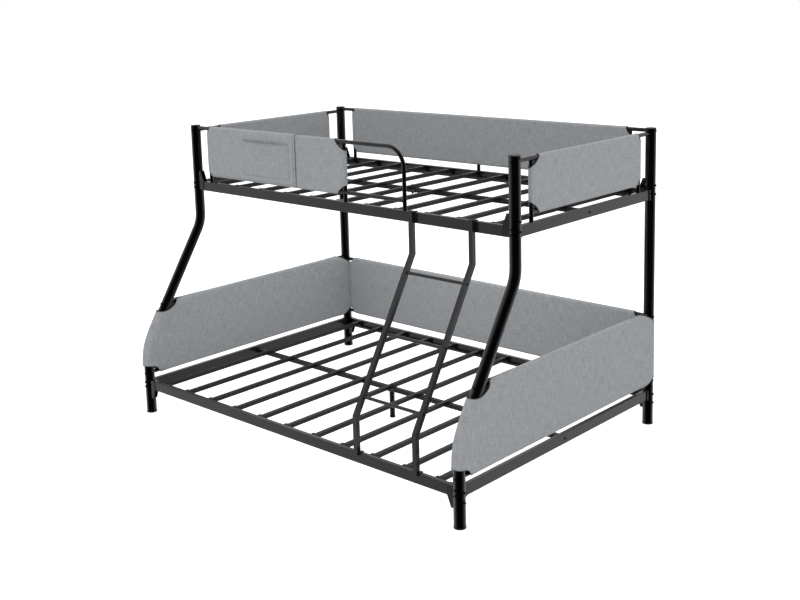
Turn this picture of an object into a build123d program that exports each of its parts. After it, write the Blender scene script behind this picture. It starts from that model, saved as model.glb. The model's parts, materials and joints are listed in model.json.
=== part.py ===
from build123d import *
import math
import os

os.makedirs("parts", exist_ok=True)

# Driving dimensions in millimetres. X runs along the bed, Y from front to back, Z up.
# The origin is on the floor under the middle of the bed.
bed_length = 1960        # post axis to post axis along the bed
lower_width = 1368       # post axis to post axis across the lower bunk
upper_width = 1006       # post axis to post axis across the upper bunk
overall_height = 1378    # floor to the top of the post caps
lower_deck = 165         # floor to the top of the lower rails
upper_deck = 1101        # floor to the top of the upper rails
slat_count = 11          # slats in each bunk

# Posts: round steel tube, the front pair bent outwards to the wider lower bunk
post_diameter = 48
post_wall = 1.8
post_bend_radius = 150
lower_bend_height = 328
upper_bend_height = 896
glide_height = 8         # plastic foot under each post
glide_stem = 18
glide_overhang = 0.8
cap_height = 4           # plastic cap on each post
cap_stem = 3.5
cap_chamfer = 1.2
plug_clearance = 0.2     # plastic stems inside tubes

# Rails: rectangular steel tube
rail_height = 40
rail_width = 20
rail_wall = 1.6
rail_corner = 2
ledge_width = 15         # flat bar welded inside each long rail, under the slat holders
ledge_thickness = 3
ledge_drop = 29

# Brackets that hold the rails to the posts
seat_gap = 0.2           # play between a curved bracket and its post
web_face = 27            # post axis to the flat face that the rail is welded to
web_wrap = 5             # how far a bracket laps back round the post
flange_thickness = 2.5
flange_reach = 52        # post axis to the flange's free edge at the rail
flange_tip_reach = 32    # post axis to the flange's free edge at its far end
gusset_height = 50       # how far the flanges run past the rail
end_saddle_width = 30

# Fasteners
long_bolt_pitch = 40
end_bolt_pitch = 22
bolt_radius = 3
bolt_head_radius = 5.5
bolt_head_tip_radius = 4.2
bolt_head_height = 3.6
bolt_tail = 2            # bolt end past its nut
hole_play = 0.4
nut_across_flats = 10
nut_thickness = 5
head_standoff = 0.05     # keeps a flat head just clear of the round post

# Slats, their holders and the centre beams
slat_width = 20
slat_height = 12
slat_wall = 1.2
slat_drop = 2            # slat tops below the rail tops
slat_end_room = 111.5    # post axis to the middle of the end slats
holder_width = 30
holder_depth = 14
holder_floor = 2         # holder material between the slat's end and the rail
holder_rise = 1          # holder tops above the rail tops
holder_play = 0.3
beam_size = 20
beam_wall = 1.5
beam_end_plate = 4
coupler_length = 50
coupler_thickness = 2
leg_diameter = 25
leg_wall = 1.5
leg_top_plate = 3

# Guard frames: round tube
guard_diameter = 18
guard_wall = 1.5
guard_bend_radius = 90
long_guard_drop = 12     # post top to the axis of the long guards' top tubes
end_guard_drop = 24      # the same for the end guards, lower so that the bolts pass
upper_guard_bottom = 1142
guard_inset = 105        # post axis to the axis of the nearest guard upright
front_cover_length = 933 # between the uprights inside the front sleeve
loop_to_ladder = 54      # front guard's free upright to the ladder's left tube
guard_bolt_grip = 14     # how far a guard bolt reaches into its tube
lower_back_guard_top = 513
lower_back_guard_bottom = 212
lower_end_guard_top = 525
lower_end_guard_bottom = 199
lower_back_inset = 62    # post axis to the lower back frame's uprights

# Fabric sleeves over the guard frames
cloth = 2
cloth_gap = 0.3
cut_bow_share = 0.12     # how far a corner's cut bows into the sleeve, of its length
sleeve_round = 9
wrap_round = 12
wrap_front_top = 480     # height where the end sleeves open round the front posts
wrap_front_bottom = 238
wrap_back_top = 478
wrap_back_bottom = 232
wrap_cut_reach_front = 60
wrap_cut_reach_back = 46
upright_notch = 24       # opening under the back sleeve for the middle upright

# Cuts at the sleeves' corners: along the sleeve, and up
front_cuts = {"left_low": (33, 35), "left_high": (21, 30), "right_low": (52, 43), "right_high": (61, 49)}
end_cuts = {"left_low": (53, 48), "left_high": (57, 46), "right_low": (41, 39), "right_high": (22, 25)}
back_cuts = {"left_low": (40, 38), "left_high": (24, 30), "right_low": (40, 38), "right_high": (24, 30)}
low_back_cuts = {"left_low": (40, 36), "left_high": (38, 34), "right_low": (40, 36), "right_high": (38, 34)}

# Book pocket on the front sleeve
pocket_panel_thickness = 1.5
pocket_panel_length = 629
pocket_inset = 263       # sleeve's left upright to the pocket's left seam
pocket_width = 328
pocket_bottom_rise = 21  # guard's lower tube to the pocket's bottom seam
pocket_mouth_drop = 33   # guard's top tube to the pocket's mouth
pocket_depth_top = 9
pocket_depth_bottom = 2
pocket_cloth = 1.2

# Ladder: square tube hooked and screwed to the front rails
ladder_tube = 20
ladder_wall = 1.5
ladder_inset = 198       # right post's axis to the axis of the ladder's right tube
ladder_spacing = 320     # between the axes of the ladder's tubes
ladder_rise = 5          # tube top above the upper rail
ladder_overlap = 4       # tube foot below the top of the lower rail
ladder_upper_bend = 927
ladder_lower_bend = 324
rung_diameter = 14
rung_wall = 1.5
rung_count = 3
lowest_rung = 395
rung_pitch = 230
hook_width = 12
hook_thickness = 3
hook_drop = 18
ladder_plug_height = 3
ladder_plug_stem = 12
ladder_plug_taper = 3
screw_radius = 2
screw_head_radius = 4
screw_head_height = 2.4
screw_length = 10

overrun = 5              # how far every cut passes the face that it opens

# Sizes and places that follow from the above
half_length = bed_length / 2
post_radius = post_diameter / 2
back_y = lower_width / 2
front_low_y = -lower_width / 2
front_up_y = back_y - upper_width
post_top = overall_height - cap_height
lower_rail_z = lower_deck - rail_height / 2
upper_rail_z = upper_deck - rail_height / 2
front_inner_x = guard_inset - half_length
front_cover_end = front_inner_x + front_cover_length
ladder_right = half_length - ladder_inset
ladder_left = ladder_right - ladder_spacing
loop_upright = ladder_left - loop_to_ladder
guard_radius = guard_diameter / 2
guard_bore = guard_radius - guard_wall
long_guard_top = overall_height - long_guard_drop
end_guard_top = overall_height - end_guard_drop
rung_radius = rung_diameter / 2
sleeve_half = guard_radius + cloth_gap + cloth
sleeve_half_inner = guard_radius + cloth_gap
wrap_half = post_radius + cloth_gap + cloth
wrap_half_inner = post_radius + cloth_gap
post_route = [
    (front_low_y, glide_height),
    (front_low_y, lower_bend_height),
    (front_up_y, upper_bend_height),
    (front_up_y, post_top),
]
pocket_left = front_inner_x + pocket_inset
pocket_right = pocket_left + pocket_width
pocket_panel_end = front_inner_x + pocket_panel_length
pocket_bottom = upper_guard_bottom + pocket_bottom_rise
pocket_mouth = long_guard_top - pocket_mouth_drop
post_slope = (front_up_y - front_low_y) / (upper_bend_height - lower_bend_height)
sides = {"left": -1, "right": 1}
decks = {"lower": lower_deck, "upper": upper_deck}
front_rows = {"lower": front_low_y, "upper": front_up_y}


def save(piece, name):
    """Label a finished piece and write it to its own file."""
    piece.label = name
    export_step(piece, "parts/" + name + ".step")


def front_post_y(z):
    """Y of a front post's axis at height z, without the rounding of its bends."""
    climb = min(max(z, lower_bend_height), upper_bend_height) - lower_bend_height
    return front_low_y + climb * post_slope


def row_y(row, z):
    """Y of the front or back posts' axis at height z."""
    return back_y if row == "back" else front_post_y(z)


def along_x(x, y, z):
    """A location whose Z axis points along +X."""
    return Location((x, y, z), (0, 90, 0))


def along_y(x, y, z):
    """A location whose Z axis points along +Y."""
    return Location((x, y, z), (-90, 0, 0))


def bent_bar(points, bend_radius, radius, mode):
    """A round bar along a route with rounded corners, added to or cut from the current part."""
    with BuildLine() as route:
        if len(points) > 2:
            FilletPolyline(*points, radius=bend_radius)
        else:
            Line(*points)
    for edge in route.line.edges():
        start = edge @ 0
        heading = edge % 0
        with BuildSketch(Plane(origin=start, z_dir=heading)) as section:
            Circle(radius)
        if edge.geom_type == GeomType.LINE:
            extrude(section.sketch, amount=edge.length, mode=mode)
        else:
            turn_axis = Axis(edge.arc_center, (start - edge.arc_center).cross(heading))
            revolve(section.sketch, axis=turn_axis, mode=mode,
                    revolution_arc=math.degrees(edge.length / edge.radius))


# Heights of the bolts through the posts, shared by the holes, bolts and nuts
long_bolt_heights = {
    "lower": [lower_rail_z, lower_rail_z - long_bolt_pitch],
    "upper": [upper_rail_z, upper_rail_z + long_bolt_pitch],
}
end_bolt_heights = {
    "lower": [lower_rail_z - end_bolt_pitch / 2, lower_rail_z + end_bolt_pitch / 2],
    "upper": [upper_rail_z - end_bolt_pitch / 2, upper_rail_z + end_bolt_pitch / 2],
}
end_guard_heights = [end_guard_top, lower_end_guard_top, lower_end_guard_bottom]
back_guard_heights = [long_guard_top, lower_back_guard_top, lower_back_guard_bottom]
front_guard_heights = [long_guard_top]


def drill_post(x, row):
    """Cut every bolt hole of the post at x, inside that post's own block."""
    across = post_diameter + overrun * 2
    slanted = across + post_diameter
    guard_heights = back_guard_heights if row == "back" else front_guard_heights
    for z in long_bolt_heights["lower"] + long_bolt_heights["upper"]:
        with Locations(along_x(x, row_y(row, z), z)):
            Cylinder(bolt_radius + hole_play, across, mode=Mode.SUBTRACT)
    for z in end_bolt_heights["lower"] + end_bolt_heights["upper"]:
        with Locations(along_y(x, row_y(row, z), z)):
            Cylinder(bolt_radius + hole_play, across, mode=Mode.SUBTRACT)
    for z in guard_heights:
        with Locations(along_x(x, row_y(row, z), z)):
            Cylinder(bolt_radius + hole_play, across, mode=Mode.SUBTRACT)
    for z in end_guard_heights:
        with Locations(along_y(x, row_y(row, z), z)):
            Cylinder(bolt_radius + hole_play, slanted, mode=Mode.SUBTRACT)


# Front posts, which run up a vertical, a slope and a vertical
for side, sign in sides.items():
    x = sign * half_length
    post_points = [(x, y, z) for y, z in post_route]
    with BuildPart() as front_post:
        bent_bar(post_points, post_bend_radius, post_radius, Mode.ADD)
        bent_bar(post_points, post_bend_radius, post_radius - post_wall, Mode.SUBTRACT)
        drill_post(x, "front")
    save(front_post.part, "post_front_" + side)

# Back posts, straight
for side, sign in sides.items():
    x = sign * half_length
    with BuildPart() as back_post:
        with BuildSketch(Plane.XY.offset(glide_height)):
            with Locations((x, back_y)):
                Circle(post_radius)
                Circle(post_radius - post_wall, mode=Mode.SUBTRACT)
        extrude(amount=post_top - glide_height)
        drill_post(x, "back")
    save(back_post.part, "post_back_" + side)

# A solid of each front post's outside with play, which the guard tubes are coped to
post_envelopes = {}
for side, sign in sides.items():
    post_points = [(sign * half_length, y, z) for y, z in post_route]
    with BuildPart() as envelope:
        bent_bar(post_points, post_bend_radius, post_radius + seat_gap, Mode.ADD)
    post_envelopes[side] = envelope.part

# Caps on the posts: a bevelled disc with a short stem inside the tube
with BuildPart() as post_caps:
    for sign in sides.values():
        for y in (front_up_y, back_y):
            with BuildSketch(Plane.XY.offset(post_top)):
                with Locations((sign * half_length, y)):
                    Circle(post_radius)
            extrude(amount=cap_height)
    chamfer(post_caps.edges().group_by(Axis.Z)[-1], length=cap_chamfer)
    for sign in sides.values():
        for y in (front_up_y, back_y):
            with BuildSketch(Plane.XY.offset(post_top - cap_stem)):
                with Locations((sign * half_length, y)):
                    Circle(post_radius - post_wall - plug_clearance)
            extrude(amount=cap_stem)
save(post_caps.part, "post_caps")

# Glides under the posts and under the centre leg
with BuildPart() as foot_glides:
    glide_places = [(sign * half_length, y) for sign in sides.values() for y in (front_low_y, back_y)]
    with BuildSketch(Plane.XY):
        with Locations(*glide_places):
            Circle(post_radius + glide_overhang)
        Circle(leg_diameter / 2 + glide_overhang)
    extrude(amount=glide_height)
    with BuildSketch(Plane.XY.offset(glide_height)):
        with Locations(*glide_places):
            Circle(post_radius - post_wall - plug_clearance)
        Circle(leg_diameter / 2 - leg_wall - plug_clearance)
    extrude(amount=glide_stem)
save(foot_glides.part, "foot_glides")


def rail_profile(plane, wide, tall):
    """A rectangular tube's section, drawn on a plane at the rail's axis."""
    with BuildSketch(plane) as profile:
        RectangleRounded(wide, tall, rail_corner)
        Rectangle(wide - rail_wall * 2, tall - rail_wall * 2, mode=Mode.SUBTRACT)
    return profile.sketch


ladder_xs = [ladder_left, ladder_right]


def hook_screw_z(deck):
    """Height of the screw through a ladder hook's leg."""
    return deck - hook_drop / 2


# Long rails, each with the ledge that carries the slat holders
for bunk, deck in decks.items():
    for row, y in (("front", front_rows[bunk]), ("back", back_y)):
        inward = 1 if row == "front" else -1
        run = bed_length - web_face * 2
        with BuildPart() as long_rail:
            start = Plane(origin=(-run / 2, y, deck - rail_height / 2), z_dir=(1, 0, 0), x_dir=(0, 1, 0))
            extrude(rail_profile(start, rail_width, rail_height), amount=run)
            ledge_y = y + inward * (rail_width + ledge_width) / 2
            ledge_z = deck - ledge_drop - ledge_thickness / 2
            with Locations((0, ledge_y, ledge_z)):
                Box(bed_length - (flange_reach + overrun) * 2, ledge_width, ledge_thickness)
            if row == "front":
                for ladder_x in ladder_xs:
                    with Locations(along_y(ladder_x, y + rail_width / 2, hook_screw_z(deck))):
                        Cylinder(screw_radius + hole_play, rail_width, mode=Mode.SUBTRACT)
        save(long_rail.part, bunk + "_" + row + "_rail")

# End rails, each with a curved saddle plate welded to both ends
for bunk, deck in decks.items():
    front_y = front_rows[bunk]
    middle_y = (front_y + back_y) / 2
    rail_z = deck - rail_height / 2
    beam_z = deck - slat_drop - slat_height - beam_size / 2
    for side, sign in sides.items():
        x = sign * half_length
        run = back_y - front_y - web_face * 2
        with BuildPart() as end_rail:
            start = Plane(origin=(x, front_y + web_face, rail_z), z_dir=(0, 1, 0), x_dir=(1, 0, 0))
            extrude(rail_profile(start, rail_width, rail_height), amount=run)
            saddle_depth = web_face - post_radius + web_wrap
            for y, inward in ((front_y, 1), (back_y, -1)):
                with Locations((x, y + inward * (web_face - saddle_depth / 2), rail_z)):
                    Box(end_saddle_width, saddle_depth, rail_height)
                with Locations((x, y, rail_z)):
                    Cylinder(post_radius + seat_gap, rail_height + overrun, mode=Mode.SUBTRACT)
                for z in end_bolt_heights[bunk]:
                    with Locations(along_y(x, y + inward * web_face, z)):
                        Cylinder(bolt_radius + hole_play, web_face, mode=Mode.SUBTRACT)
            with Locations(along_x(x, middle_y, beam_z)):
                Cylinder(bolt_radius + hole_play, rail_width + overrun, mode=Mode.SUBTRACT)
        save(end_rail.part, bunk + "_" + side + "_rail")


def bracket_outline(deck, past):
    """Side view of a long rail's bracket as distance from the post's axis and height."""
    rail_edge = deck if past > 0 else deck - rail_height
    far_edge = rail_edge + past * gusset_height
    near_edge = deck - rail_height if past > 0 else deck
    wrap = post_radius - web_wrap
    return [
        (wrap, near_edge),
        (flange_reach, near_edge),
        (flange_reach, rail_edge),
        (flange_tip_reach, far_edge),
        (wrap, far_edge),
    ]


# Brackets of the long rails: a web that hugs the post and two flanges beside the rail.
# The flanges run on past the rail, down at the lower bunk and up at the upper one.
for bunk, deck in decks.items():
    past = -1 if bunk == "lower" else 1
    wide = rail_width + flange_thickness * 2
    height = rail_height + gusset_height
    with BuildPart() as rail_brackets:
        for sign in sides.values():
            for y in (front_rows[bunk], back_y):
                outline = [(sign * (half_length - d), z) for d, z in bracket_outline(deck, past)]
                with BuildSketch(Plane.XZ.offset(-y)):
                    with BuildLine():
                        Polyline(*outline, close=True)
                    make_face()
                extrude(amount=wide / 2, both=True)
        for sign in sides.values():
            for y in (front_rows[bunk], back_y):
                x = sign * half_length
                middle_z = deck - rail_height / 2 + past * gusset_height / 2
                channel_x = x - sign * (web_face + flange_reach / 2)
                with Locations((x, y, middle_z)):
                    Cylinder(post_radius + seat_gap, height + overrun, mode=Mode.SUBTRACT)
                with Locations((channel_x, y, middle_z)):
                    Box(flange_reach, rail_width, height + overrun, mode=Mode.SUBTRACT)
                for z in long_bolt_heights[bunk]:
                    with Locations(along_x(x - sign * web_face, y, z)):
                        Cylinder(bolt_radius + hole_play, web_face, mode=Mode.SUBTRACT)
    save(rail_brackets.part, bunk + "_rail_brackets")

# Slats, their holders, and the centre beams under them
slat_pitch = (bed_length - slat_end_room * 2) / (slat_count - 1)
slat_xs = [(i - (slat_count - 1) / 2) * slat_pitch for i in range(slat_count)]
for bunk, deck in decks.items():
    front_face = front_rows[bunk] + rail_width / 2
    back_face = back_y - rail_width / 2
    middle_y = (front_rows[bunk] + back_y) / 2
    slat_z = deck - slat_drop - slat_height / 2
    beam_z = slat_z - (slat_height + beam_size) / 2
    slat_length = back_face - front_face - holder_floor * 2 - holder_play * 2

    with BuildPart() as slats:
        for x in slat_xs:
            with Locations((x, (front_face + back_face) / 2, slat_z)):
                Box(slat_width, slat_length, slat_height)
        for x in slat_xs:
            with Locations((x, (front_face + back_face) / 2, slat_z)):
                Box(slat_width - slat_wall * 2, slat_length + overrun, slat_height - slat_wall * 2,
                    mode=Mode.SUBTRACT)
        with Locations((0, middle_y, slat_z)):
            Cylinder(bolt_radius + hole_play, slat_height + overrun, mode=Mode.SUBTRACT)
    save(slats.part, bunk + "_slats")

    with BuildPart() as holders:
        holder_height = ledge_drop + holder_rise
        for x in slat_xs:
            for face, inward in ((front_face, 1), (back_face, -1)):
                holder_z = deck - ledge_drop + holder_height / 2
                with Locations((x, face + inward * holder_depth / 2, holder_z)):
                    Box(holder_width, holder_depth, holder_height)
        for x in slat_xs:
            for face, inward in ((front_face, 1), (back_face, -1)):
                mouth_y = face + inward * (holder_floor + holder_depth / 2)
                with Locations((x, mouth_y, slat_z)):
                    Box(slat_width + holder_play * 2, holder_depth, slat_height + holder_play * 2,
                        mode=Mode.SUBTRACT)
    save(holders.part, bunk + "_slat_holders")

    with BuildPart() as beam:
        beam_run = bed_length - rail_width
        with Locations((0, middle_y, beam_z)):
            Box(beam_run, beam_size, beam_size)
            Box(beam_run - beam_end_plate * 2, beam_size - beam_wall * 2, beam_size - beam_wall * 2,
                mode=Mode.SUBTRACT)
        for sign in sides.values():
            with Locations(along_x(sign * beam_run / 2, middle_y, beam_z)):
                Cylinder(bolt_radius + hole_play, beam_end_plate * 2 + overrun,
                         mode=Mode.SUBTRACT)
        with Locations((0, middle_y, beam_z)):
            Cylinder(bolt_radius + hole_play, beam_size + overrun, mode=Mode.SUBTRACT)
    save(beam.part, bunk + "_centre_beam")

# Couplers: a channel that clasps each centre beam under the middle slat
with BuildPart() as beam_couplers:
    for bunk, deck in decks.items():
        middle_y = (front_rows[bunk] + back_y) / 2
        beam_z = deck - slat_drop - slat_height - beam_size / 2
        wide = beam_size + coupler_thickness * 2
        with Locations((0, middle_y, beam_z - coupler_thickness / 2)):
            Box(coupler_length, wide, beam_size + coupler_thickness)
    for bunk, deck in decks.items():
        middle_y = (front_rows[bunk] + back_y) / 2
        beam_z = deck - slat_drop - slat_height - beam_size / 2
        with Locations((0, middle_y, beam_z + overrun / 2)):
            Box(coupler_length + overrun, beam_size, beam_size + overrun, mode=Mode.SUBTRACT)
        with Locations((0, middle_y, beam_z - beam_size / 2)):
            Cylinder(bolt_radius + hole_play, coupler_thickness * 2 + overrun,
                     mode=Mode.SUBTRACT)
save(beam_couplers.part, "beam_couplers")

# Centre leg under the lower beam
leg_top = lower_deck - slat_drop - slat_height - beam_size - coupler_thickness
with BuildPart() as centre_leg:
    with BuildSketch(Plane.XY.offset(glide_height)):
        Circle(leg_diameter / 2)
    extrude(amount=leg_top - glide_height)
    with BuildSketch(Plane.XY.offset(glide_height)):
        Circle(leg_diameter / 2 - leg_wall)
    extrude(amount=leg_top - leg_top_plate - glide_height, mode=Mode.SUBTRACT)
    with Locations((0, 0, leg_top)):
        Cylinder(bolt_radius + hole_play, leg_top_plate * 2 + overrun, mode=Mode.SUBTRACT)
save(centre_leg.part, "centre_leg")


def tube_frame(routes):
    """Weld tubes into one frame, then bore them all. A route of more than two points is bent."""
    for route in routes:
        bent_bar(route, guard_bend_radius, guard_radius, Mode.ADD)
    for route in routes:
        bent_bar(route, guard_bend_radius, guard_bore, Mode.SUBTRACT)


def cope_to_back_posts(xs):
    """Cut the posts' outside, with play, out of the tubes that meet the back posts."""
    for x in xs:
        with Locations((x, back_y, overall_height / 2)):
            Cylinder(post_radius + seat_gap, overall_height, mode=Mode.SUBTRACT)


# Upper front guard: a tube from the left post that bends down to the rail beside the ladder
with BuildPart() as front_guard:
    y = front_up_y
    tube_frame([
        [(-half_length, y, long_guard_top), (loop_upright, y, long_guard_top),
         (loop_upright, y, upper_deck)],
        [(front_inner_x, y, upper_deck), (front_inner_x, y, long_guard_top)],
        [(front_cover_end, y, upper_deck), (front_cover_end, y, long_guard_top)],
        [(front_inner_x, y, upper_guard_bottom), (loop_upright, y, upper_guard_bottom)],
    ])
    with Locations((-half_length, y, long_guard_top)):
        Cylinder(post_radius + seat_gap, post_diameter, mode=Mode.SUBTRACT)
save(front_guard.part, "upper_front_guard")

# Upper back guard: post to post, with three uprights on the rail
with BuildPart() as back_guard:
    y = back_y
    upright_xs = [front_inner_x, 0, -front_inner_x]
    tubes = [((-half_length, y, long_guard_top), (half_length, y, long_guard_top))]
    tubes += [((x, y, upper_deck), (x, y, long_guard_top)) for x in upright_xs]
    tubes += [((front_inner_x, y, upper_guard_bottom), (-front_inner_x, y, upper_guard_bottom))]
    tube_frame(tubes)
    cope_to_back_posts((-half_length, half_length))
save(back_guard.part, "upper_back_guard")

# Upper end guards: from the front post to the back post, with two uprights on the end rail
end_front_y = front_up_y + guard_inset
end_back_y = back_y - guard_inset
for side, sign in sides.items():
    x = sign * half_length
    with BuildPart() as end_guard:
        tubes = [((x, front_up_y, end_guard_top), (x, back_y, end_guard_top))]
        tubes += [((x, y, upper_deck), (x, y, end_guard_top)) for y in (end_front_y, end_back_y)]
        tubes += [((x, end_front_y, upper_guard_bottom), (x, end_back_y, upper_guard_bottom))]
        tube_frame(tubes)
        cope_to_back_posts([x])
        add(post_envelopes[side], mode=Mode.SUBTRACT)
    save(end_guard.part, "upper_" + side + "_guard")

# Lower back frame: two long tubes joined by three uprights
with BuildPart() as lower_back_frame:
    y = back_y
    lower_upright_x = half_length - lower_back_inset
    tubes = [((-half_length, y, z), (half_length, y, z))
             for z in (lower_back_guard_top, lower_back_guard_bottom)]
    tubes += [((x, y, lower_back_guard_bottom), (x, y, lower_back_guard_top))
              for x in (-lower_upright_x, 0, lower_upright_x)]
    tube_frame(tubes)
    cope_to_back_posts((-half_length, half_length))
save(lower_back_frame.part, "lower_back_guard")

# Lower end frames: two tubes from the bent post to the back post, joined in the middle
for side, sign in sides.items():
    x = sign * half_length
    with BuildPart() as lower_end_frame:
        top_front_y = front_post_y(lower_end_guard_top)
        middle_y = (top_front_y + back_y) / 2
        tubes = [
            ((x, top_front_y, lower_end_guard_top), (x, back_y, lower_end_guard_top)),
            ((x, front_low_y, lower_end_guard_bottom), (x, back_y, lower_end_guard_bottom)),
            ((x, middle_y, lower_end_guard_bottom), (x, middle_y, lower_end_guard_top)),
        ]
        tube_frame(tubes)
        cope_to_back_posts([x])
        add(post_envelopes[side], mode=Mode.SUBTRACT)
    save(lower_end_frame.part, "lower_" + side + "_guard")


def sleeve(plane, outline, inner_outline, half, half_inner, rounding, inner_rounding, corners,
           openings):
    """A closed fabric sleeve: an outer bag less an inner bag, cut open where tubes leave it."""
    normal = Axis((0, 0, 0), plane.z_dir)
    with BuildPart() as inner_bag:
        with BuildSketch(plane):
            with BuildLine():
                Polyline(*inner_outline, close=True)
            make_face()
        extrude(amount=half_inner, both=True)
        fillet(inner_bag.edges().filter_by(normal, reverse=True), radius=inner_rounding)
    with BuildPart() as bag:
        with BuildSketch(plane):
            with BuildLine():
                Polyline(*outline, close=True)
            make_face()
        extrude(amount=half, both=True)
        fillet(bag.edges().filter_by(normal, reverse=True), radius=rounding)
        add(inner_bag.part, mode=Mode.SUBTRACT)
        for corner, first, last in corners:
            bow = ((first[0] + last[0]) / 2 - corner[0], (first[1] + last[1]) / 2 - corner[1])
            reach = 1 + cut_bow_share * 2
            middle = (corner[0] + bow[0] * reach, corner[1] + bow[1] * reach)
            with BuildSketch(plane):
                with BuildLine():
                    Polyline(first, corner, last)
                    ThreePointArc(first, middle, last)
                make_face()
            extrude(amount=half + overrun, both=True, mode=Mode.SUBTRACT)
        for opening in openings:
            with BuildSketch(plane):
                with BuildLine():
                    Polyline(*opening, close=True)
                make_face()
            extrude(amount=half + overrun, both=True, mode=Mode.SUBTRACT)
    return bag.part


def rectangle_points(low_u, high_u, low_v, high_v):
    """Corners of a rectangle, anticlockwise."""
    return [(low_u, low_v), (high_u, low_v), (high_u, high_v), (low_u, high_v)]


def corner_openings(low_u, high_u, low_v, high_v, cuts):
    """Outlines that cut the four corners off a rectangle: a corner, then the cut's two ends."""
    openings = []
    for side, u, toward_u in (("left", low_u, 1), ("right", high_u, -1)):
        for level, v, toward_v in (("low", low_v, 1), ("high", high_v, -1)):
            along, up = cuts[side + "_" + level]
            out_u = u - toward_u * overrun
            out_v = v - toward_v * overrun
            reach_u = u + toward_u * along * (1 + overrun / up)
            reach_v = v + toward_v * up * (1 + overrun / along)
            openings.append([(out_u, out_v), (reach_u, out_v), (out_u, reach_v)])
    return openings


def frame_sleeve(plane, low_u, high_u, low_v, high_v, cuts, extra):
    """A sleeve round a rectangular tube frame whose tube axes lie on the given lines."""
    r = sleeve_half
    s = sleeve_half_inner
    outer = rectangle_points(low_u - r, high_u + r, low_v - r, high_v + r)
    inner = rectangle_points(low_u - s, high_u + s, low_v - s, high_v + s)
    openings = corner_openings(low_u - r, high_u + r, low_v - r, high_v + r, cuts)
    return sleeve(plane, outer, inner, r, s, sleeve_round, sleeve_round - cloth, openings, extra)


# Sleeves of the upper guards
front_cover = frame_sleeve(Plane.XZ.offset(-front_up_y), front_inner_x, front_cover_end,
                           upper_guard_bottom, long_guard_top, front_cuts, [])
save(front_cover, "upper_front_cover")

notch_bottom = upper_guard_bottom - sleeve_half - overrun
back_notch = rectangle_points(-upright_notch / 2, upright_notch / 2,
                              notch_bottom, upper_guard_bottom)
back_cover = frame_sleeve(Plane.XZ.offset(-back_y), front_inner_x, -front_inner_x,
                          upper_guard_bottom, long_guard_top, back_cuts, [back_notch])
save(back_cover, "upper_back_cover")

for side, sign in sides.items():
    end_cover = frame_sleeve(Plane.YZ.offset(sign * half_length), end_front_y, end_back_y,
                             upper_guard_bottom, end_guard_top, end_cuts, [])
    save(end_cover, "upper_" + side + "_cover")

# Sleeve of the lower back frame
lower_back_cover = frame_sleeve(Plane.XZ.offset(-back_y), -lower_upright_x, lower_upright_x,
                                lower_back_guard_bottom, lower_back_guard_top, low_back_cuts, [])
save(lower_back_cover, "lower_back_cover")


def wrap_outline(half, low, high):
    """Side view of a lower end sleeve that follows the bent post in front."""
    slope_run = math.hypot(1, post_slope)
    shift = half * (slope_run - 1) / post_slope
    bend_z = lower_bend_height + shift
    top_y = front_post_y(high) - half * slope_run
    return [
        (front_low_y - half, low),
        (back_y + half, low),
        (back_y + half, high),
        (top_y, high),
        (front_low_y - half, bend_z),
    ]


wrap_low = lower_end_guard_bottom - sleeve_half
wrap_high = lower_end_guard_top + sleeve_half
wrap_openings = [
    [
        (front_low_y - post_diameter, wrap_front_top),
        (front_post_y(wrap_front_top) + post_radius, wrap_front_top),
        (front_post_y(wrap_front_top) + post_radius + wrap_cut_reach_front, wrap_high + overrun),
        (front_low_y - post_diameter, wrap_high + overrun),
    ],
    [
        (front_low_y - post_diameter, wrap_front_bottom),
        (front_low_y + post_radius, wrap_front_bottom),
        (front_low_y + post_radius + wrap_cut_reach_back, wrap_low - overrun),
        (front_low_y - post_diameter, wrap_low - overrun),
    ],
    [
        (back_y + post_diameter, wrap_back_top),
        (back_y - post_radius, wrap_back_top),
        (back_y - post_radius - wrap_cut_reach_back, wrap_high + overrun),
        (back_y + post_diameter, wrap_high + overrun),
    ],
    [
        (back_y + post_diameter, wrap_back_bottom),
        (back_y - post_radius, wrap_back_bottom),
        (back_y - post_radius - wrap_cut_reach_back, wrap_low - overrun),
        (back_y + post_diameter, wrap_low - overrun),
    ],
]
for side, sign in sides.items():
    outer = wrap_outline(wrap_half, wrap_low, wrap_high)
    inner = wrap_outline(wrap_half_inner, wrap_low + cloth, wrap_high - cloth)
    end_wrap = sleeve(Plane.YZ.offset(sign * half_length), outer, inner, wrap_half,
                      wrap_half_inner, wrap_round, wrap_round - cloth, [], wrap_openings)
    save(end_wrap, "lower_" + side + "_cover")

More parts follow.
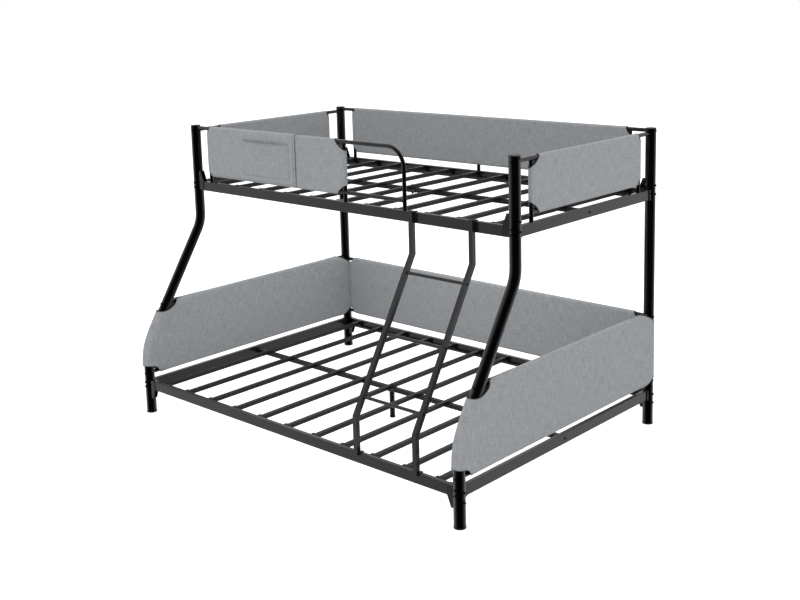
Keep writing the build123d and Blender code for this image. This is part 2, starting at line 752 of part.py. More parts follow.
# Book pocket: a panel on the front sleeve with a pouch that gapes at its mouth
panel_y = front_up_y - sleeve_half - cloth_gap
pouch_y = panel_y - pocket_panel_thickness
with BuildPart() as pocket:
    panel_low = upper_guard_bottom
    panel_high = long_guard_top
    panel_start = front_inner_x
    panel_outline = rectangle_points(panel_start, pocket_panel_end, panel_low, panel_high)
    with BuildSketch(Plane.XZ.offset(-panel_y)):
        with BuildLine():
            Polyline(*panel_outline, close=True)
        make_face()
        low_along, low_up = front_cuts["left_low"]
        high_along, high_up = front_cuts["left_high"]
        left_corners = [
            [(panel_start, panel_low), (panel_start + low_along - sleeve_half, panel_low),
             (panel_start, panel_low + low_up - sleeve_half)],
            [(panel_start, panel_high), (panel_start + high_along - sleeve_half, panel_high),
             (panel_start, panel_high - high_up + sleeve_half)],
        ]
        for corner in left_corners:
            with BuildLine():
                Polyline(*corner, close=True)
            make_face(mode=Mode.SUBTRACT)
    extrude(amount=pocket_panel_thickness)
    pouch_outer = [
        (pouch_y, pocket_bottom),
        (pouch_y - pocket_depth_bottom, pocket_bottom),
        (pouch_y - pocket_depth_top, pocket_mouth),
        (pouch_y, pocket_mouth),
    ]
    with BuildSketch(Plane.YZ.offset(pocket_left)):
        with BuildLine():
            Polyline(*pouch_outer, close=True)
        make_face()
    extrude(amount=pocket_right - pocket_left)
    lean = (pocket_depth_top - pocket_depth_bottom) / (pocket_mouth - pocket_bottom)
    pouch_floor = pocket_bottom + pocket_cloth
    pouch_inner = [
        (pouch_y, pouch_floor),
        (pouch_y - pocket_depth_bottom + pocket_cloth - lean * pocket_cloth, pouch_floor),
        (pouch_y - pocket_depth_top + pocket_cloth - lean * overrun, pocket_mouth + overrun),
        (pouch_y, pocket_mouth + overrun),
    ]
    with BuildSketch(Plane.YZ.offset(pocket_left + pocket_cloth)):
        with BuildLine():
            Polyline(*pouch_inner, close=True)
        make_face()
    extrude(amount=pocket_right - pocket_left - pocket_cloth * 2, mode=Mode.SUBTRACT)
save(pocket.part, "book_pocket")

# Ladder: side tubes with two mitred bends
ladder_top_y = front_up_y - (rail_width + ladder_tube) / 2
ladder_foot_y = front_low_y - (rail_width + ladder_tube) / 2
ladder_slope = (ladder_top_y - ladder_foot_y) / (ladder_upper_bend - ladder_lower_bend)
ladder_top = upper_deck + ladder_rise
ladder_foot = lower_deck - ladder_overlap


def ladder_band(half, low, high):
    """Side view of a ladder tube: its route thickened by half on each side, mitred."""
    shift = half * (math.hypot(1, ladder_slope) - 1) / ladder_slope
    return [
        (ladder_foot_y - half, low),
        (ladder_foot_y + half, low),
        (ladder_foot_y + half, ladder_lower_bend - shift),
        (ladder_top_y + half, ladder_upper_bend - shift),
        (ladder_top_y + half, high),
        (ladder_top_y - half, high),
        (ladder_top_y - half, ladder_upper_bend + shift),
        (ladder_foot_y - half, ladder_lower_bend + shift),
    ]


def ladder_y(z):
    """Y of the ladder's axis at a height between its bends."""
    return ladder_foot_y + (z - ladder_lower_bend) * ladder_slope


rung_heights = [lowest_rung + i * rung_pitch for i in range(rung_count)]
for side, x in (("left", ladder_left), ("right", ladder_right)):
    bore_half = ladder_tube / 2 - ladder_wall
    with BuildPart() as ladder_rail:
        with BuildSketch(Plane.YZ.offset(x)):
            with BuildLine():
                Polyline(*ladder_band(ladder_tube / 2, ladder_foot, ladder_top), close=True)
            make_face()
        extrude(amount=ladder_tube / 2, both=True)
        with BuildSketch(Plane.YZ.offset(x)):
            with BuildLine():
                Polyline(*ladder_band(bore_half, ladder_foot - overrun, ladder_top + overrun),
                         close=True)
            make_face()
        extrude(amount=bore_half, both=True, mode=Mode.SUBTRACT)
        for z in rung_heights:
            with Locations(along_x(x, ladder_y(z), z)):
                Cylinder(bolt_radius + hole_play, ladder_tube + overrun, mode=Mode.SUBTRACT)
        # A strip hook over the rail at each end, welded to the back of the tube
        for tube_y, deck in ((ladder_top_y, upper_deck), (ladder_foot_y, lower_deck)):
            start = tube_y + ladder_tube / 2
            end = start + rail_width + hook_thickness
            hook = [
                (start, deck),
                (start + rail_width, deck),
                (start + rail_width, deck - hook_drop),
                (end, deck - hook_drop),
                (end, deck + hook_thickness),
                (start, deck + hook_thickness),
            ]
            with BuildSketch(Plane.YZ.offset(x)):
                with BuildLine():
                    Polyline(*hook, close=True)
                make_face()
            extrude(amount=hook_width / 2, both=True)
            with Locations(along_y(x, end, hook_screw_z(deck))):
                Cylinder(screw_radius + hole_play, hook_thickness * 2 + hole_play, mode=Mode.SUBTRACT)
    save(ladder_rail.part, "ladder_" + side + "_rail")

# Rungs: round tubes between the ladder's side tubes
rung_names = ["ladder_rung_low", "ladder_rung_middle", "ladder_rung_high"]
for name, z in zip(rung_names, rung_heights):
    start_x = ladder_left + ladder_tube / 2
    with BuildPart() as rung:
        with BuildSketch(Plane(origin=(start_x, ladder_y(z), z), z_dir=(1, 0, 0))):
            Circle(rung_radius)
            Circle(rung_radius - rung_wall, mode=Mode.SUBTRACT)
        extrude(amount=ladder_right - ladder_left - ladder_tube)
    save(rung.part, name)

# Plastic plugs in the ladder tubes' open ends
with BuildPart() as ladder_plugs:
    stem = ladder_tube - (ladder_wall + plug_clearance) * 2
    for x in ladder_xs:
        for y, end_z, outward in ((ladder_top_y, ladder_top, 1), (ladder_foot_y, ladder_foot, -1)):
            with BuildSketch(Plane.XY.offset(end_z)):
                with Locations((x, y)):
                    Rectangle(ladder_tube, ladder_tube)
            with BuildSketch(Plane.XY.offset(end_z + outward * ladder_plug_height)):
                with Locations((x, y)):
                    Rectangle(ladder_tube - ladder_plug_taper * 2, ladder_tube - ladder_plug_taper * 2)
            loft()
            with BuildSketch(Plane.XY.offset(end_z)):
                with Locations((x, y)):
                    Rectangle(stem, stem)
            extrude(amount=-outward * ladder_plug_stem)
save(ladder_plugs.part, "ladder_plugs")


def bolt(place, length):
    """A bolt whose head rises along the place's Z axis and whose shank runs the other way."""
    with Locations(place * Location((0, 0, bolt_head_height / 2))):
        Cone(bolt_head_radius, bolt_head_tip_radius, bolt_head_height)
    with Locations(place * Location((0, 0, -length / 2))):
        Cylinder(bolt_radius, length)


def outward_x(x, y, z, sign):
    """A place at (x, y, z) whose Z axis points along X, outwards for the given side."""
    return Location((x, y, z), (0, 90 * sign, 0))


def outward_y(x, y, z, sign):
    """A place at (x, y, z) whose Z axis points along Y, outwards for the given row."""
    return Location((x, y, z), (-90 * sign, 0, 0))


post_face = post_radius + head_standoff
rail_bolt_length = post_face + web_face + nut_thickness + bolt_tail
rows = {"front": -1, "back": 1}

# Bolts along X through the posts into the long rails, heads on the bed's outer faces
with BuildPart() as long_rail_bolts:
    for bunk in decks:
        for row in rows:
            for sign in sides.values():
                for z in long_bolt_heights[bunk]:
                    bolt(outward_x(sign * (half_length + post_face), row_y(row, z), z, sign),
                              rail_bolt_length)
save(long_rail_bolts.part, "long_rail_bolts")

# Bolts along Y through the posts into the end rails
with BuildPart() as end_rail_bolts:
    for bunk in decks:
        for row, outward in rows.items():
            for sign in sides.values():
                for z in end_bolt_heights[bunk]:
                    bolt(outward_y(sign * half_length, row_y(row, z) + outward * post_face, z,
                                        outward), rail_bolt_length)
save(end_rail_bolts.part, "end_rail_bolts")

# Nuts of both, against the brackets' inner faces
with BuildPart() as rail_nuts:
    for bunk in decks:
        for row, outward in rows.items():
            for sign in sides.values():
                for z in long_bolt_heights[bunk]:
                    nut_x = sign * (half_length - web_face)
                    with BuildSketch(Plane(origin=(nut_x, row_y(row, z), z), z_dir=(-sign, 0, 0),
                                           x_dir=(0, 0, 1))):
                        RegularPolygon(nut_across_flats / 2, 6, major_radius=False)
                        Circle(bolt_radius, mode=Mode.SUBTRACT)
                    extrude(amount=nut_thickness)
                for z in end_bolt_heights[bunk]:
                    nut_y = row_y(row, z) - outward * web_face
                    with BuildSketch(Plane(origin=(sign * half_length, nut_y, z),
                                           z_dir=(0, -outward, 0), x_dir=(1, 0, 0))):
                        RegularPolygon(nut_across_flats / 2, 6, major_radius=False)
                        Circle(bolt_radius, mode=Mode.SUBTRACT)
                    extrude(amount=nut_thickness)
save(rail_nuts.part, "rail_nuts")

# Bolts that hold the guard frames to the posts
post_lean = math.hypot(1, post_slope)
slope_seat = post_face * post_lean + bolt_head_radius * post_slope
guard_bolt_length = post_face + post_radius + guard_bolt_grip
with BuildPart() as guard_bolts:
    for sign in sides.values():
        for z in back_guard_heights:
            bolt(outward_x(sign * (half_length + post_face), back_y, z, sign),
                       guard_bolt_length)
        for z in end_guard_heights:
            bolt(outward_y(sign * half_length, back_y + post_face, z, 1), guard_bolt_length)
            sloping = lower_bend_height < z < upper_bend_height
            seat = slope_seat if sloping else post_face
            bolt(outward_y(sign * half_length, front_post_y(z) - seat, z, -1),
                       guard_bolt_length + (seat - post_face) * 2)
    bolt(outward_x(-half_length - post_face, front_up_y, long_guard_top, -1),
               guard_bolt_length)
save(guard_bolts.part, "guard_bolts")

# Plug in the spare guard hole of the right front post
with BuildPart() as hole_plug:
    bolt(outward_x(half_length + post_face, front_up_y, long_guard_top, 1),
               post_wall * 2)
save(hole_plug.part, "spare_hole_plug")

# Bolts of the centre beams: one through each end rail and one down through the middle slat
with BuildPart() as beam_bolts:
    for bunk, deck in decks.items():
        middle_y = (front_rows[bunk] + back_y) / 2
        beam_z = deck - slat_drop - slat_height - beam_size / 2
        for sign in sides.values():
            bolt(outward_x(sign * (half_length + rail_width / 2), middle_y, beam_z, sign),
                       rail_width + beam_end_plate + nut_thickness)
        stack = slat_height + beam_size + coupler_thickness + leg_top_plate
        bolt(Location((0, middle_y, deck - slat_drop)), stack + nut_thickness)
save(beam_bolts.part, "beam_bolts")

# Nuts of the beam bolts, inside the beams and under the couplers
with BuildPart() as beam_nuts:
    for bunk, deck in decks.items():
        middle_y = (front_rows[bunk] + back_y) / 2
        beam_z = deck - slat_drop - slat_height - beam_size / 2
        for sign in sides.values():
            nut_x = sign * (half_length - rail_width / 2 - beam_end_plate)
            with BuildSketch(Plane(origin=(nut_x, middle_y, beam_z), z_dir=(-sign, 0, 0),
                                   x_dir=(0, 0, 1))):
                RegularPolygon(nut_across_flats / 2, 6, major_radius=False)
                Circle(bolt_radius, mode=Mode.SUBTRACT)
            extrude(amount=nut_thickness)
        under = beam_z - beam_size / 2 - coupler_thickness
        under -= leg_top_plate if bunk == "lower" else 0
        with BuildSketch(Plane.XY.offset(under)):
            with Locations((0, middle_y)):
                RegularPolygon(nut_across_flats / 2, 6, major_radius=False)
                Circle(bolt_radius, mode=Mode.SUBTRACT)
        extrude(amount=-nut_thickness)
save(beam_nuts.part, "beam_nuts")

# Bolts through the ladder's side tubes into the rungs
with BuildPart() as rung_bolts:
    for z in rung_heights:
        for x, sign in ((ladder_left, -1), (ladder_right, 1)):
            bolt(outward_x(x + sign * ladder_tube / 2, ladder_y(z), z, sign),
                       ladder_tube + guard_bolt_grip)
save(rung_bolts.part, "rung_bolts")

# Screws through the hooks' inner legs into the rails
with BuildPart() as hook_screws:
    for x in ladder_xs:
        for y, deck in ((front_up_y, upper_deck), (front_low_y, lower_deck)):
            screw_y = y + rail_width / 2 + hook_thickness
            with Locations(along_y(x, screw_y + screw_head_height / 2, hook_screw_z(deck))):
                Cone(screw_head_radius, screw_radius, screw_head_height)
            with Locations(along_y(x, screw_y - screw_length / 2, hook_screw_z(deck))):
                Cylinder(screw_radius, screw_length)
save(hook_screws.part, "hook_screws")
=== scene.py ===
"""Dresses the bunk bed: powder coat, plastic, cloth sleeves, the book pocket and a plain studio."""
import json
import math

import bmesh
import bpy
import numpy as np
from bpy.props import FloatProperty, FloatVectorProperty, PointerProperty
from mathutils import Matrix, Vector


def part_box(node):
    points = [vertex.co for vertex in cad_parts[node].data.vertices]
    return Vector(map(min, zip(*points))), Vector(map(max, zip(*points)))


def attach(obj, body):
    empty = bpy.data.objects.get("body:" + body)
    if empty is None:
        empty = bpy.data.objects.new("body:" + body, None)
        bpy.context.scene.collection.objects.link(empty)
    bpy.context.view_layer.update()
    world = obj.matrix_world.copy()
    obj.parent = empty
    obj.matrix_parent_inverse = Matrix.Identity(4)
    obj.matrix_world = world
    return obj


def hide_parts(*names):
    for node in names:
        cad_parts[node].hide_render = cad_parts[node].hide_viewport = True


bl_info = {
    "name": "Bunk bed dressing",
    "version": (1, 0, 0),
    "blender": (4, 5, 0),
    "location": "View3D > Sidebar > Bunk bed",
    "description": "Finishes the steel, sews the sleeves and sets up the studio",
    "category": "Object",
}

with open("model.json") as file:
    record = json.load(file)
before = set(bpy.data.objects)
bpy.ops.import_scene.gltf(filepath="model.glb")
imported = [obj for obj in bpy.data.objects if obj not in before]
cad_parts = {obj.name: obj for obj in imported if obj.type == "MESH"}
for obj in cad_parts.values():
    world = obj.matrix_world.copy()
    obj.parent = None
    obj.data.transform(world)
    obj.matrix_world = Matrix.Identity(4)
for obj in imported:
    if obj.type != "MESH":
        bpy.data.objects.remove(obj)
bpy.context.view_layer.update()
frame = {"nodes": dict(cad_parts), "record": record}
MM = 0.001


def linear(code):
    """Turns an sRGB hex colour into linear red, green and blue."""
    shares = [int(code[i:i + 2], 16) / 255 for i in (1, 3, 5)]
    return [s / 12.92 if s <= 0.04045 else ((s + 0.055) / 1.055) ** 2.4 for s in shares]


def opaque(colour):
    """A colour with full alpha, as shader sockets want it."""
    return (*colour, 1.0)


# Keywords that lengths and colours share in the settings below
LENGTH = {"subtype": "DISTANCE", "unit": "LENGTH"}
COLOUR = {"subtype": "COLOR", "size": 3, "min": 0, "max": 1}


class BedSteelSettings(bpy.types.PropertyGroup):
    post_colour: FloatVectorProperty(
        name="Post colour", description="Gloss coat on the posts, guards and brackets",
        **COLOUR, default=linear("#020202"))
    rail_colour: FloatVectorProperty(
        name="Rail colour", description="Satin coat on the rails, the ladder and the centre leg",
        **COLOUR, default=linear("#1c1c1d"))
    # Darker than the rail coat: partly a rougher, duller finish and partly painted shade that darkens
    # the sides of the slats
    slat_colour_with_shade: FloatVectorProperty(
        name="Slat colour", description="Matt coat on the slats and the beams under them",
        **COLOUR, default=linear("#18181a"))
    plastic_colour: FloatVectorProperty(
        name="Plastic colour", description="Caps, glides and slat holders",
        **COLOUR, default=linear("#0b0b0c"))
    fixing_colour: FloatVectorProperty(
        name="Fixing colour", description="Blackened bolts, nuts and screws",
        **COLOUR, default=linear("#1a1a1b"))
    coat_grain: FloatProperty(
        name="Coat grain", description="Size of the coat's orange peel",
        **LENGTH, min=0.0001, default=2.2 * MM)
    plastic_grain: FloatProperty(
        name="Plastic grain", description="Size of the mould's spark texture",
        **LENGTH, min=0.0001, default=0.6 * MM)
    extra_depth: FloatProperty(
        name="Extra depth", description="How much deeper rails and slats show than their solids",
        **LENGTH, min=0, default=5.5 * MM)
    head_stretch: FloatProperty(
        name="Head stretch", description="How much prouder the bolt heads show, as a share",
        min=0, max=1, default=0.67)


class BedClothSettings(bpy.types.PropertyGroup):
    light_thread: FloatVectorProperty(
        name="Light thread", description="Paler of the two yarns in the heather",
        **COLOUR, default=linear("#b3b6b8"))
    dark_thread: FloatVectorProperty(
        name="Dark thread", description="Darker of the two yarns in the heather",
        **COLOUR, default=linear("#848789"))
    hem_colour: FloatVectorProperty(
        name="Hem colour", description="Double cloth of the hems, which the photograph shows darker",
        **COLOUR, default=linear("#6c7072"))
    thread_pitch: FloatProperty(
        name="Thread pitch", description="Distance between neighbouring threads",
        **LENGTH, min=0.0002, default=1.1 * MM)
    slub_width: FloatProperty(
        name="Slub width", description="Width of a thick place in the yarn as it is drawn",
        **LENGTH, min=0.001, default=3 * MM)
    slub_length: FloatProperty(
        name="Slub length", description="Length of a thick place in the yarn",
        **LENGTH, min=0.01, default=45 * MM)
    thickness: FloatProperty(
        name="Cloth thickness", description="One layer of the sleeve cloth",
        **LENGTH, min=0.0005, max=0.002, default=1.5 * MM)
    back_reach: FloatProperty(
        name="Back reach", description="How far the lower back sleeve runs on to the end sleeves",
        **LENGTH, min=0, max=0.02, default=14 * MM)
    hem_radius: FloatProperty(
        name="Hem radius", description="Half the thickness of a rolled hem",
        **LENGTH, min=0.0005, default=1.5 * MM)
    dip: FloatProperty(
        name="Dip", description="How far the taut cloth draws in between the tubes",
        **LENGTH, min=0, max=0.004, default=1.2 * MM)
    ripple: FloatProperty(
        name="Ripple", description="Height of the faint drag lines in the cloth",
        **LENGTH, min=0, max=0.003, default=0.5 * MM)
    front_slack: FloatProperty(
        name="Front slack", description="Room between an end sleeve and the bent post in front",
        **LENGTH, min=0, max=0.01, default=8 * MM)
    pouch_gape: FloatProperty(
        name="Pouch gape", description="How far the book pocket stands open at its mouth",
        **LENGTH, min=0, max=0.02, default=12 * MM)
    pouch_sag: FloatProperty(
        name="Pouch sag", description="How far the middle of the pocket's mouth hangs",
        **LENGTH, min=0, max=0.02, default=8 * MM)


class BedStudioSettings(bpy.types.PropertyGroup):
    floor_size: FloatProperty(
        name="Floor size", description="Side of the floor", **LENGTH,
        min=4, default=24)
    floor_colour: FloatVectorProperty(
        name="Floor colour", description="Colour of the floor under the bed",
        **COLOUR, default=linear("#f4f4f4"))
    sky_level: FloatProperty(
        name="Sky level", description="Strength of the even light from all round",
        min=0, max=4, default=0.94)
    dark_side: FloatVectorProperty(
        name="Dark side", description="Where the unlit side of the studio lies, as gloss sees it",
        subtype="DIRECTION", size=3, default=(0.67, -0.74, 0.0))
    dark_level: FloatProperty(
        name="Dark level", description="How bright gloss sees the unlit side of the studio",
        min=0, max=1, default=0.015)
    over_power: FloatProperty(
        name="Lamp over", description="Power of the big lamp over the bed",
        subtype="POWER", unit="POWER", min=0, default=25)
    between_power: FloatProperty(
        name="Lamp between", description="Power of the faint lamp between the bunks",
        subtype="POWER", unit="POWER", min=0, default=4)
    camera_place: FloatVectorProperty(
        name="Camera place", description="Where the camera stands", subtype="TRANSLATION",
        unit="LENGTH", size=3, default=(3.5907, -3.8018, 2.0029))
    camera_azimuth: FloatProperty(
        name="Camera azimuth", description="Turn about the vertical", subtype="ANGLE",
        unit="ROTATION", default=math.radians(42.673))
    camera_elevation: FloatProperty(
        name="Camera elevation", description="Angle that the camera looks down",
        subtype="ANGLE", unit="ROTATION", default=math.radians(9.908))
    camera_roll: FloatProperty(
        name="Camera roll", description="Turn about the line of sight", subtype="ANGLE",
        unit="ROTATION", default=math.radians(-1.494))
    camera_lens: FloatProperty(
        name="Camera lens", description="Focal length in millimetres", min=10, default=51.698)
    camera_rise: FloatProperty(
        name="Camera shift", description="Vertical shift of the lens, as a share of the picture's width",
        min=-1, max=1, default=-0.135)


def node(tree, kind, settings=None, links=None):
    """Adds a shader node with its settings, and links or sets its inputs by name or index."""
    made = tree.nodes.new(kind)
    for key, value in (settings or {}).items():
        setattr(made, key, value)
    for key, value in (links or {}).items():
        socket = made.inputs[key]
        if isinstance(value, bpy.types.NodeSocket):
            tree.links.new(value, socket)
        else:
            socket.default_value = value
    return made


def new_material(name):
    """An empty node material and its tree."""
    made = bpy.data.materials.new(name)
    made.use_nodes = True
    made.node_tree.nodes.clear()
    return made, made.node_tree


def finish_material(made, tree, shader):
    """Links the shader to the output."""
    node(tree, "ShaderNodeOutputMaterial", links={"Surface": shader.outputs[0]})
    return made


def coated_steel(name, colour, roughness, specular, grain):
    """Powder-coated steel tube, sprayed and baked.

    The melted powder levels into a faint orange peel, so edges of reflections wobble a little
    and the dark tube shows pale rims where it turns away from the eye.
    """
    made, tree = new_material(name)
    place = node(tree, "ShaderNodeTexCoord").outputs["Object"]
    peel = node(tree, "ShaderNodeTexNoise",
                links={"Vector": place, "Scale": 1 / grain, "Detail": 3.0, "Roughness": 0.55})
    patches = node(tree, "ShaderNodeTexNoise",
                   links={"Vector": place, "Scale": 1 / (60 * MM), "Detail": 2.0})
    spread = node(tree, "ShaderNodeMapRange",
                  links={"Value": patches.outputs["Fac"], "To Min": roughness - 0.04,
                         "To Max": roughness + 0.06})
    shade = node(tree, "ShaderNodeMix", {"data_type": "RGBA"},
                 {"Factor": patches.outputs["Fac"], "A": opaque([c * 0.85 for c in colour]),
                  "B": opaque([min(1, c * 1.15) for c in colour])})
    bump = node(tree, "ShaderNodeBump",
                links={"Strength": 0.12, "Distance": 0.05 * MM, "Height": peel.outputs["Fac"]})
    shader = node(tree, "ShaderNodeBsdfPrincipled",
                  links={"Base Color": shade.outputs["Result"], "Roughness": spread.outputs["Result"],
                         "IOR": 1.5, "Specular IOR Level": specular,
                         "Normal": bump.outputs["Normal"]})
    return finish_material(made, tree, shader)


def moulded_plastic(name, colour, grain):
    """Injection-moulded polypropylene in a spark-eroded mould.

    The fine grain of the mould scatters the light, so the plastic looks duller than the coat.
    """
    made, tree = new_material(name)
    place = node(tree, "ShaderNodeTexCoord").outputs["Object"]
    sparks = node(tree, "ShaderNodeTexVoronoi", links={"Vector": place, "Scale": 1 / grain})
    clouds = node(tree, "ShaderNodeTexNoise",
                  links={"Vector": place, "Scale": 1 / (12 * MM), "Detail": 3.0})
    spread = node(tree, "ShaderNodeMapRange",
                  links={"Value": clouds.outputs["Fac"], "To Min": 0.46, "To Max": 0.6})
    shade = node(tree, "ShaderNodeMix", {"data_type": "RGBA"},
                 {"Factor": clouds.outputs["Fac"], "A": opaque([c * 0.8 for c in colour]),
                  "B": opaque([min(1, c * 1.25) for c in colour])})
    bump = node(tree, "ShaderNodeBump",
                links={"Strength": 0.2, "Distance": 0.04 * MM, "Height": sparks.outputs["Distance"]})
    shader = node(tree, "ShaderNodeBsdfPrincipled",
                  links={"Base Color": shade.outputs["Result"], "Roughness": spread.outputs["Result"],
                         "IOR": 1.49, "Normal": bump.outputs["Normal"]})
    return finish_material(made, tree, shader)


def black_oxide(name, colour):
    """Black-oxide steel of bolts and screws, dipped and oiled.

    The metal shows through the thin black film, so the heads glint softly.
    """
    made, tree = new_material(name)
    place = node(tree, "ShaderNodeTexCoord").outputs["Object"]
    film = node(tree, "ShaderNodeTexNoise",
                links={"Vector": place, "Scale": 1 / (3 * MM), "Detail": 4.0})
    spread = node(tree, "ShaderNodeMapRange",
                  links={"Value": film.outputs["Fac"], "To Min": 0.3, "To Max": 0.45})
    shade = node(tree, "ShaderNodeMix", {"data_type": "RGBA"},
                 {"Factor": film.outputs["Fac"], "A": opaque([c * 0.6 for c in colour]),
                  "B": opaque([min(1, c * 1.3) for c in colour])})
    shader = node(tree, "ShaderNodeBsdfPrincipled",
                  links={"Base Color": shade.outputs["Result"], "Roughness": spread.outputs["Result"],
                         "Metallic": 0.6})
    return finish_material(made, tree, shader)


def heather_weave(name, light, dark, pitch, slub_width, slub_length):
    """Polyester linen-look cloth, plain-woven from slub yarns of two greys.

    Thick places in the yarns draw faint upright and level streaks, and the two greys mottle it.
    The threads are finer than a pixel of the photograph, so the streaks are drawn as wide as it
    shows them, and the threads themselves only bump the surface for a close look.
    """
    made, tree = new_material(name)
    # The map is in metres of cloth: X along the sleeve, Y round its girth.
    cloth = node(tree, "ShaderNodeUVMap", {"uv_map": "cloth"}).outputs["UV"]
    streaks = []
    for scale in ((1 / slub_width, 1 / slub_length, 1), (1 / slub_length, 1 / slub_width, 1)):
        stretched = node(tree, "ShaderNodeMapping", links={"Vector": cloth, "Scale": scale})
        streaks.append(node(tree, "ShaderNodeTexNoise",
                            links={"Vector": stretched.outputs["Vector"], "Scale": 1.0,
                                   "Detail": 3.0, "Roughness": 0.65}))
    both = node(tree, "ShaderNodeMix", {"data_type": "FLOAT"},
                {"Factor": 0.42, "A": streaks[0].outputs["Fac"], "B": streaks[1].outputs["Fac"]})
    strong = node(tree, "ShaderNodeMapRange",
                  links={"Value": both.outputs["Result"], "From Min": 0.34, "From Max": 0.66})
    grey = node(tree, "ShaderNodeMix", {"data_type": "RGBA"},
                {"Factor": strong.outputs["Result"], "A": opaque(dark), "B": opaque(light)})
    clouds = node(tree, "ShaderNodeTexNoise",
                  links={"Vector": cloth, "Scale": 1 / (55 * MM), "Detail": 1.0})
    tint = node(tree, "ShaderNodeMix", {"data_type": "RGBA"},
                {"Factor": clouds.outputs["Fac"], "A": opaque(linear("#f8fbfa")),
                 "B": opaque(linear("#fcf8fb"))})
    heather = node(tree, "ShaderNodeMix", {"data_type": "RGBA", "blend_type": "MULTIPLY"},
                   {"Factor": 1.0, "A": grey.outputs["Result"], "B": tint.outputs["Result"]})
    threads = []
    for direction in ("X", "Y"):
        threads.append(node(tree, "ShaderNodeTexWave",
                            {"wave_type": "BANDS", "bands_direction": direction},
                            {"Vector": cloth, "Scale": math.pi / 10 / pitch, "Distortion": 0.6,
                             "Detail": 1.0}))
    weave = node(tree, "ShaderNodeMath", {"operation": "MAXIMUM"},
                 {0: threads[0].outputs["Fac"], 1: threads[1].outputs["Fac"]})
    relief = node(tree, "ShaderNodeMath", {"operation": "MULTIPLY_ADD"},
                  {0: strong.outputs["Result"], 1: 0.8, 2: weave.outputs["Value"]})
    bump = node(tree, "ShaderNodeBump",
                links={"Strength": 0.35, "Distance": 0.15 * MM, "Height": relief.outputs["Value"]})
    shader = node(tree, "ShaderNodeBsdfPrincipled",
                  links={"Base Color": heather.outputs["Result"], "Roughness": 0.92,
                         "Specular IOR Level": 0.2, "Sheen Weight": 0.12, "Sheen Roughness": 0.5,
                         "Normal": bump.outputs["Normal"]})
    return finish_material(made, tree, shader)


def plain_paper(name, colour):
    """Matt paper sweep, rolled.

    The camera sees it as white, and only the bed's shadow tones it down.
    """
    made, tree = new_material(name)
    rays = node(tree, "ShaderNodeLightPath")
    seen = node(tree, "ShaderNodeMath", {"operation": "MAXIMUM"},
                {0: rays.outputs["Is Camera Ray"], 1: rays.outputs["Is Glossy Ray"]})
    seen = node(tree, "ShaderNodeMath", {"operation": "MAXIMUM"},
                {0: seen.outputs["Value"], 1: rays.outputs["Is Transmission Ray"]})
    fibres = node(tree, "ShaderNodeTexNoise",
                  links={"Vector": node(tree, "ShaderNodeTexCoord").outputs["Object"],
                         "Scale": 1 / (4 * MM), "Detail": 2.0})
    bump = node(tree, "ShaderNodeBump",
                links={"Strength": 0.05, "Distance": 0.05 * MM, "Height": fibres.outputs["Fac"]})
    paper = node(tree, "ShaderNodeBsdfDiffuse",
                 links={"Color": opaque(colour), "Normal": bump.outputs["Normal"]})
    lift = node(tree, "ShaderNodeMath", {"operation": "MULTIPLY"},
                {0: seen.outputs["Value"], 1: 0.62})
    glow = node(tree, "ShaderNodeEmission",
                links={"Color": (1, 1, 1, 1), "Strength": lift.outputs["Value"]})
    shader = node(tree, "ShaderNodeAddShader",
                  links={0: paper.outputs["BSDF"], 1: glow.outputs["Emission"]})
    return finish_material(made, tree, shader)


def dress(name, made):
    """Gives a CAD node a material."""
    target = frame["nodes"][name]
    if not target.material_slots:
        target.data.materials.append(made)
    for place in target.material_slots:
        place.material = made


def placed(name, data):
    """A new object in the scene."""
    made = bpy.data.objects.new(name, data)
    bpy.context.scene.collection.objects.link(made)
    return made


def mesh_piece(name, points, faces, uvs, made):
    """A piece of cloth from points in metres, with a map given for each corner of each face."""
    mesh = bpy.data.meshes.new(name)
    mesh.from_pydata(points, [], faces)
    layer = mesh.uv_layers.new(name="cloth")
    layer.data.foreach_set("uv", [c for face in uvs for corner in face for c in corner])
    mesh.materials.append(made)
    for polygon in mesh.polygons:
        polygon.use_smooth = True
    piece = placed(name, mesh)
    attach(piece, "root")
    return piece


def thicken(piece, thickness):
    """Gives a sheet its thickness, inwards."""
    solid = piece.modifiers.new("thickness", "SOLIDIFY")
    solid.thickness = thickness
    solid.offset = -1


def quads(rows, columns, first=0, flip=False):
    """Faces of a grid of points, rows by columns, whose numbers start at first."""
    made = []
    for j in range(rows - 1):
        for i in range(columns - 1):
            a = first + j * columns + i
            face = (a, a + 1, a + columns + 1, a + columns)
            made.append(face[::-1] if flip else face)
    return made


def fold(distance, radius):
    """Height share of cloth that rounds a tube, by the distance from the fold's outer line."""
    t = np.clip(distance / radius, 0, 1)
    return np.sqrt(np.clip(1 - (1 - t) ** 2, 0, 1))


def fold_steps(radius, count):
    """Distances from a fold that divide its quarter turn evenly."""
    return [radius * (1 - math.cos(math.pi / 2 * k / count)) for k in range(count + 1)]


def lengths_along(line):
    """Distance of each point of a line from its first, along the line."""
    return np.concatenate([[0], np.cumsum(np.linalg.norm(np.diff(line, axis=0), axis=1))])


def smooth_line(points, count):
    """Points along a route whose corners are rounded by three passes of corner cutting."""
    line = np.array(points, float)
    for _ in range(3):
        quarter = line[:-1] * 0.75 + line[1:] * 0.25
        three = line[:-1] * 0.25 + line[1:] * 0.75
        middle = np.empty((len(quarter) * 2, line.shape[1]))
        middle[0::2] = quarter
        middle[1::2] = three
        line = np.vstack([line[:1], middle, line[-1:]])
    along = lengths_along(line)
    wanted = np.linspace(0, along[-1], count)
    return np.column_stack([np.interp(wanted, along, line[:, k]) for k in range(line.shape[1])])


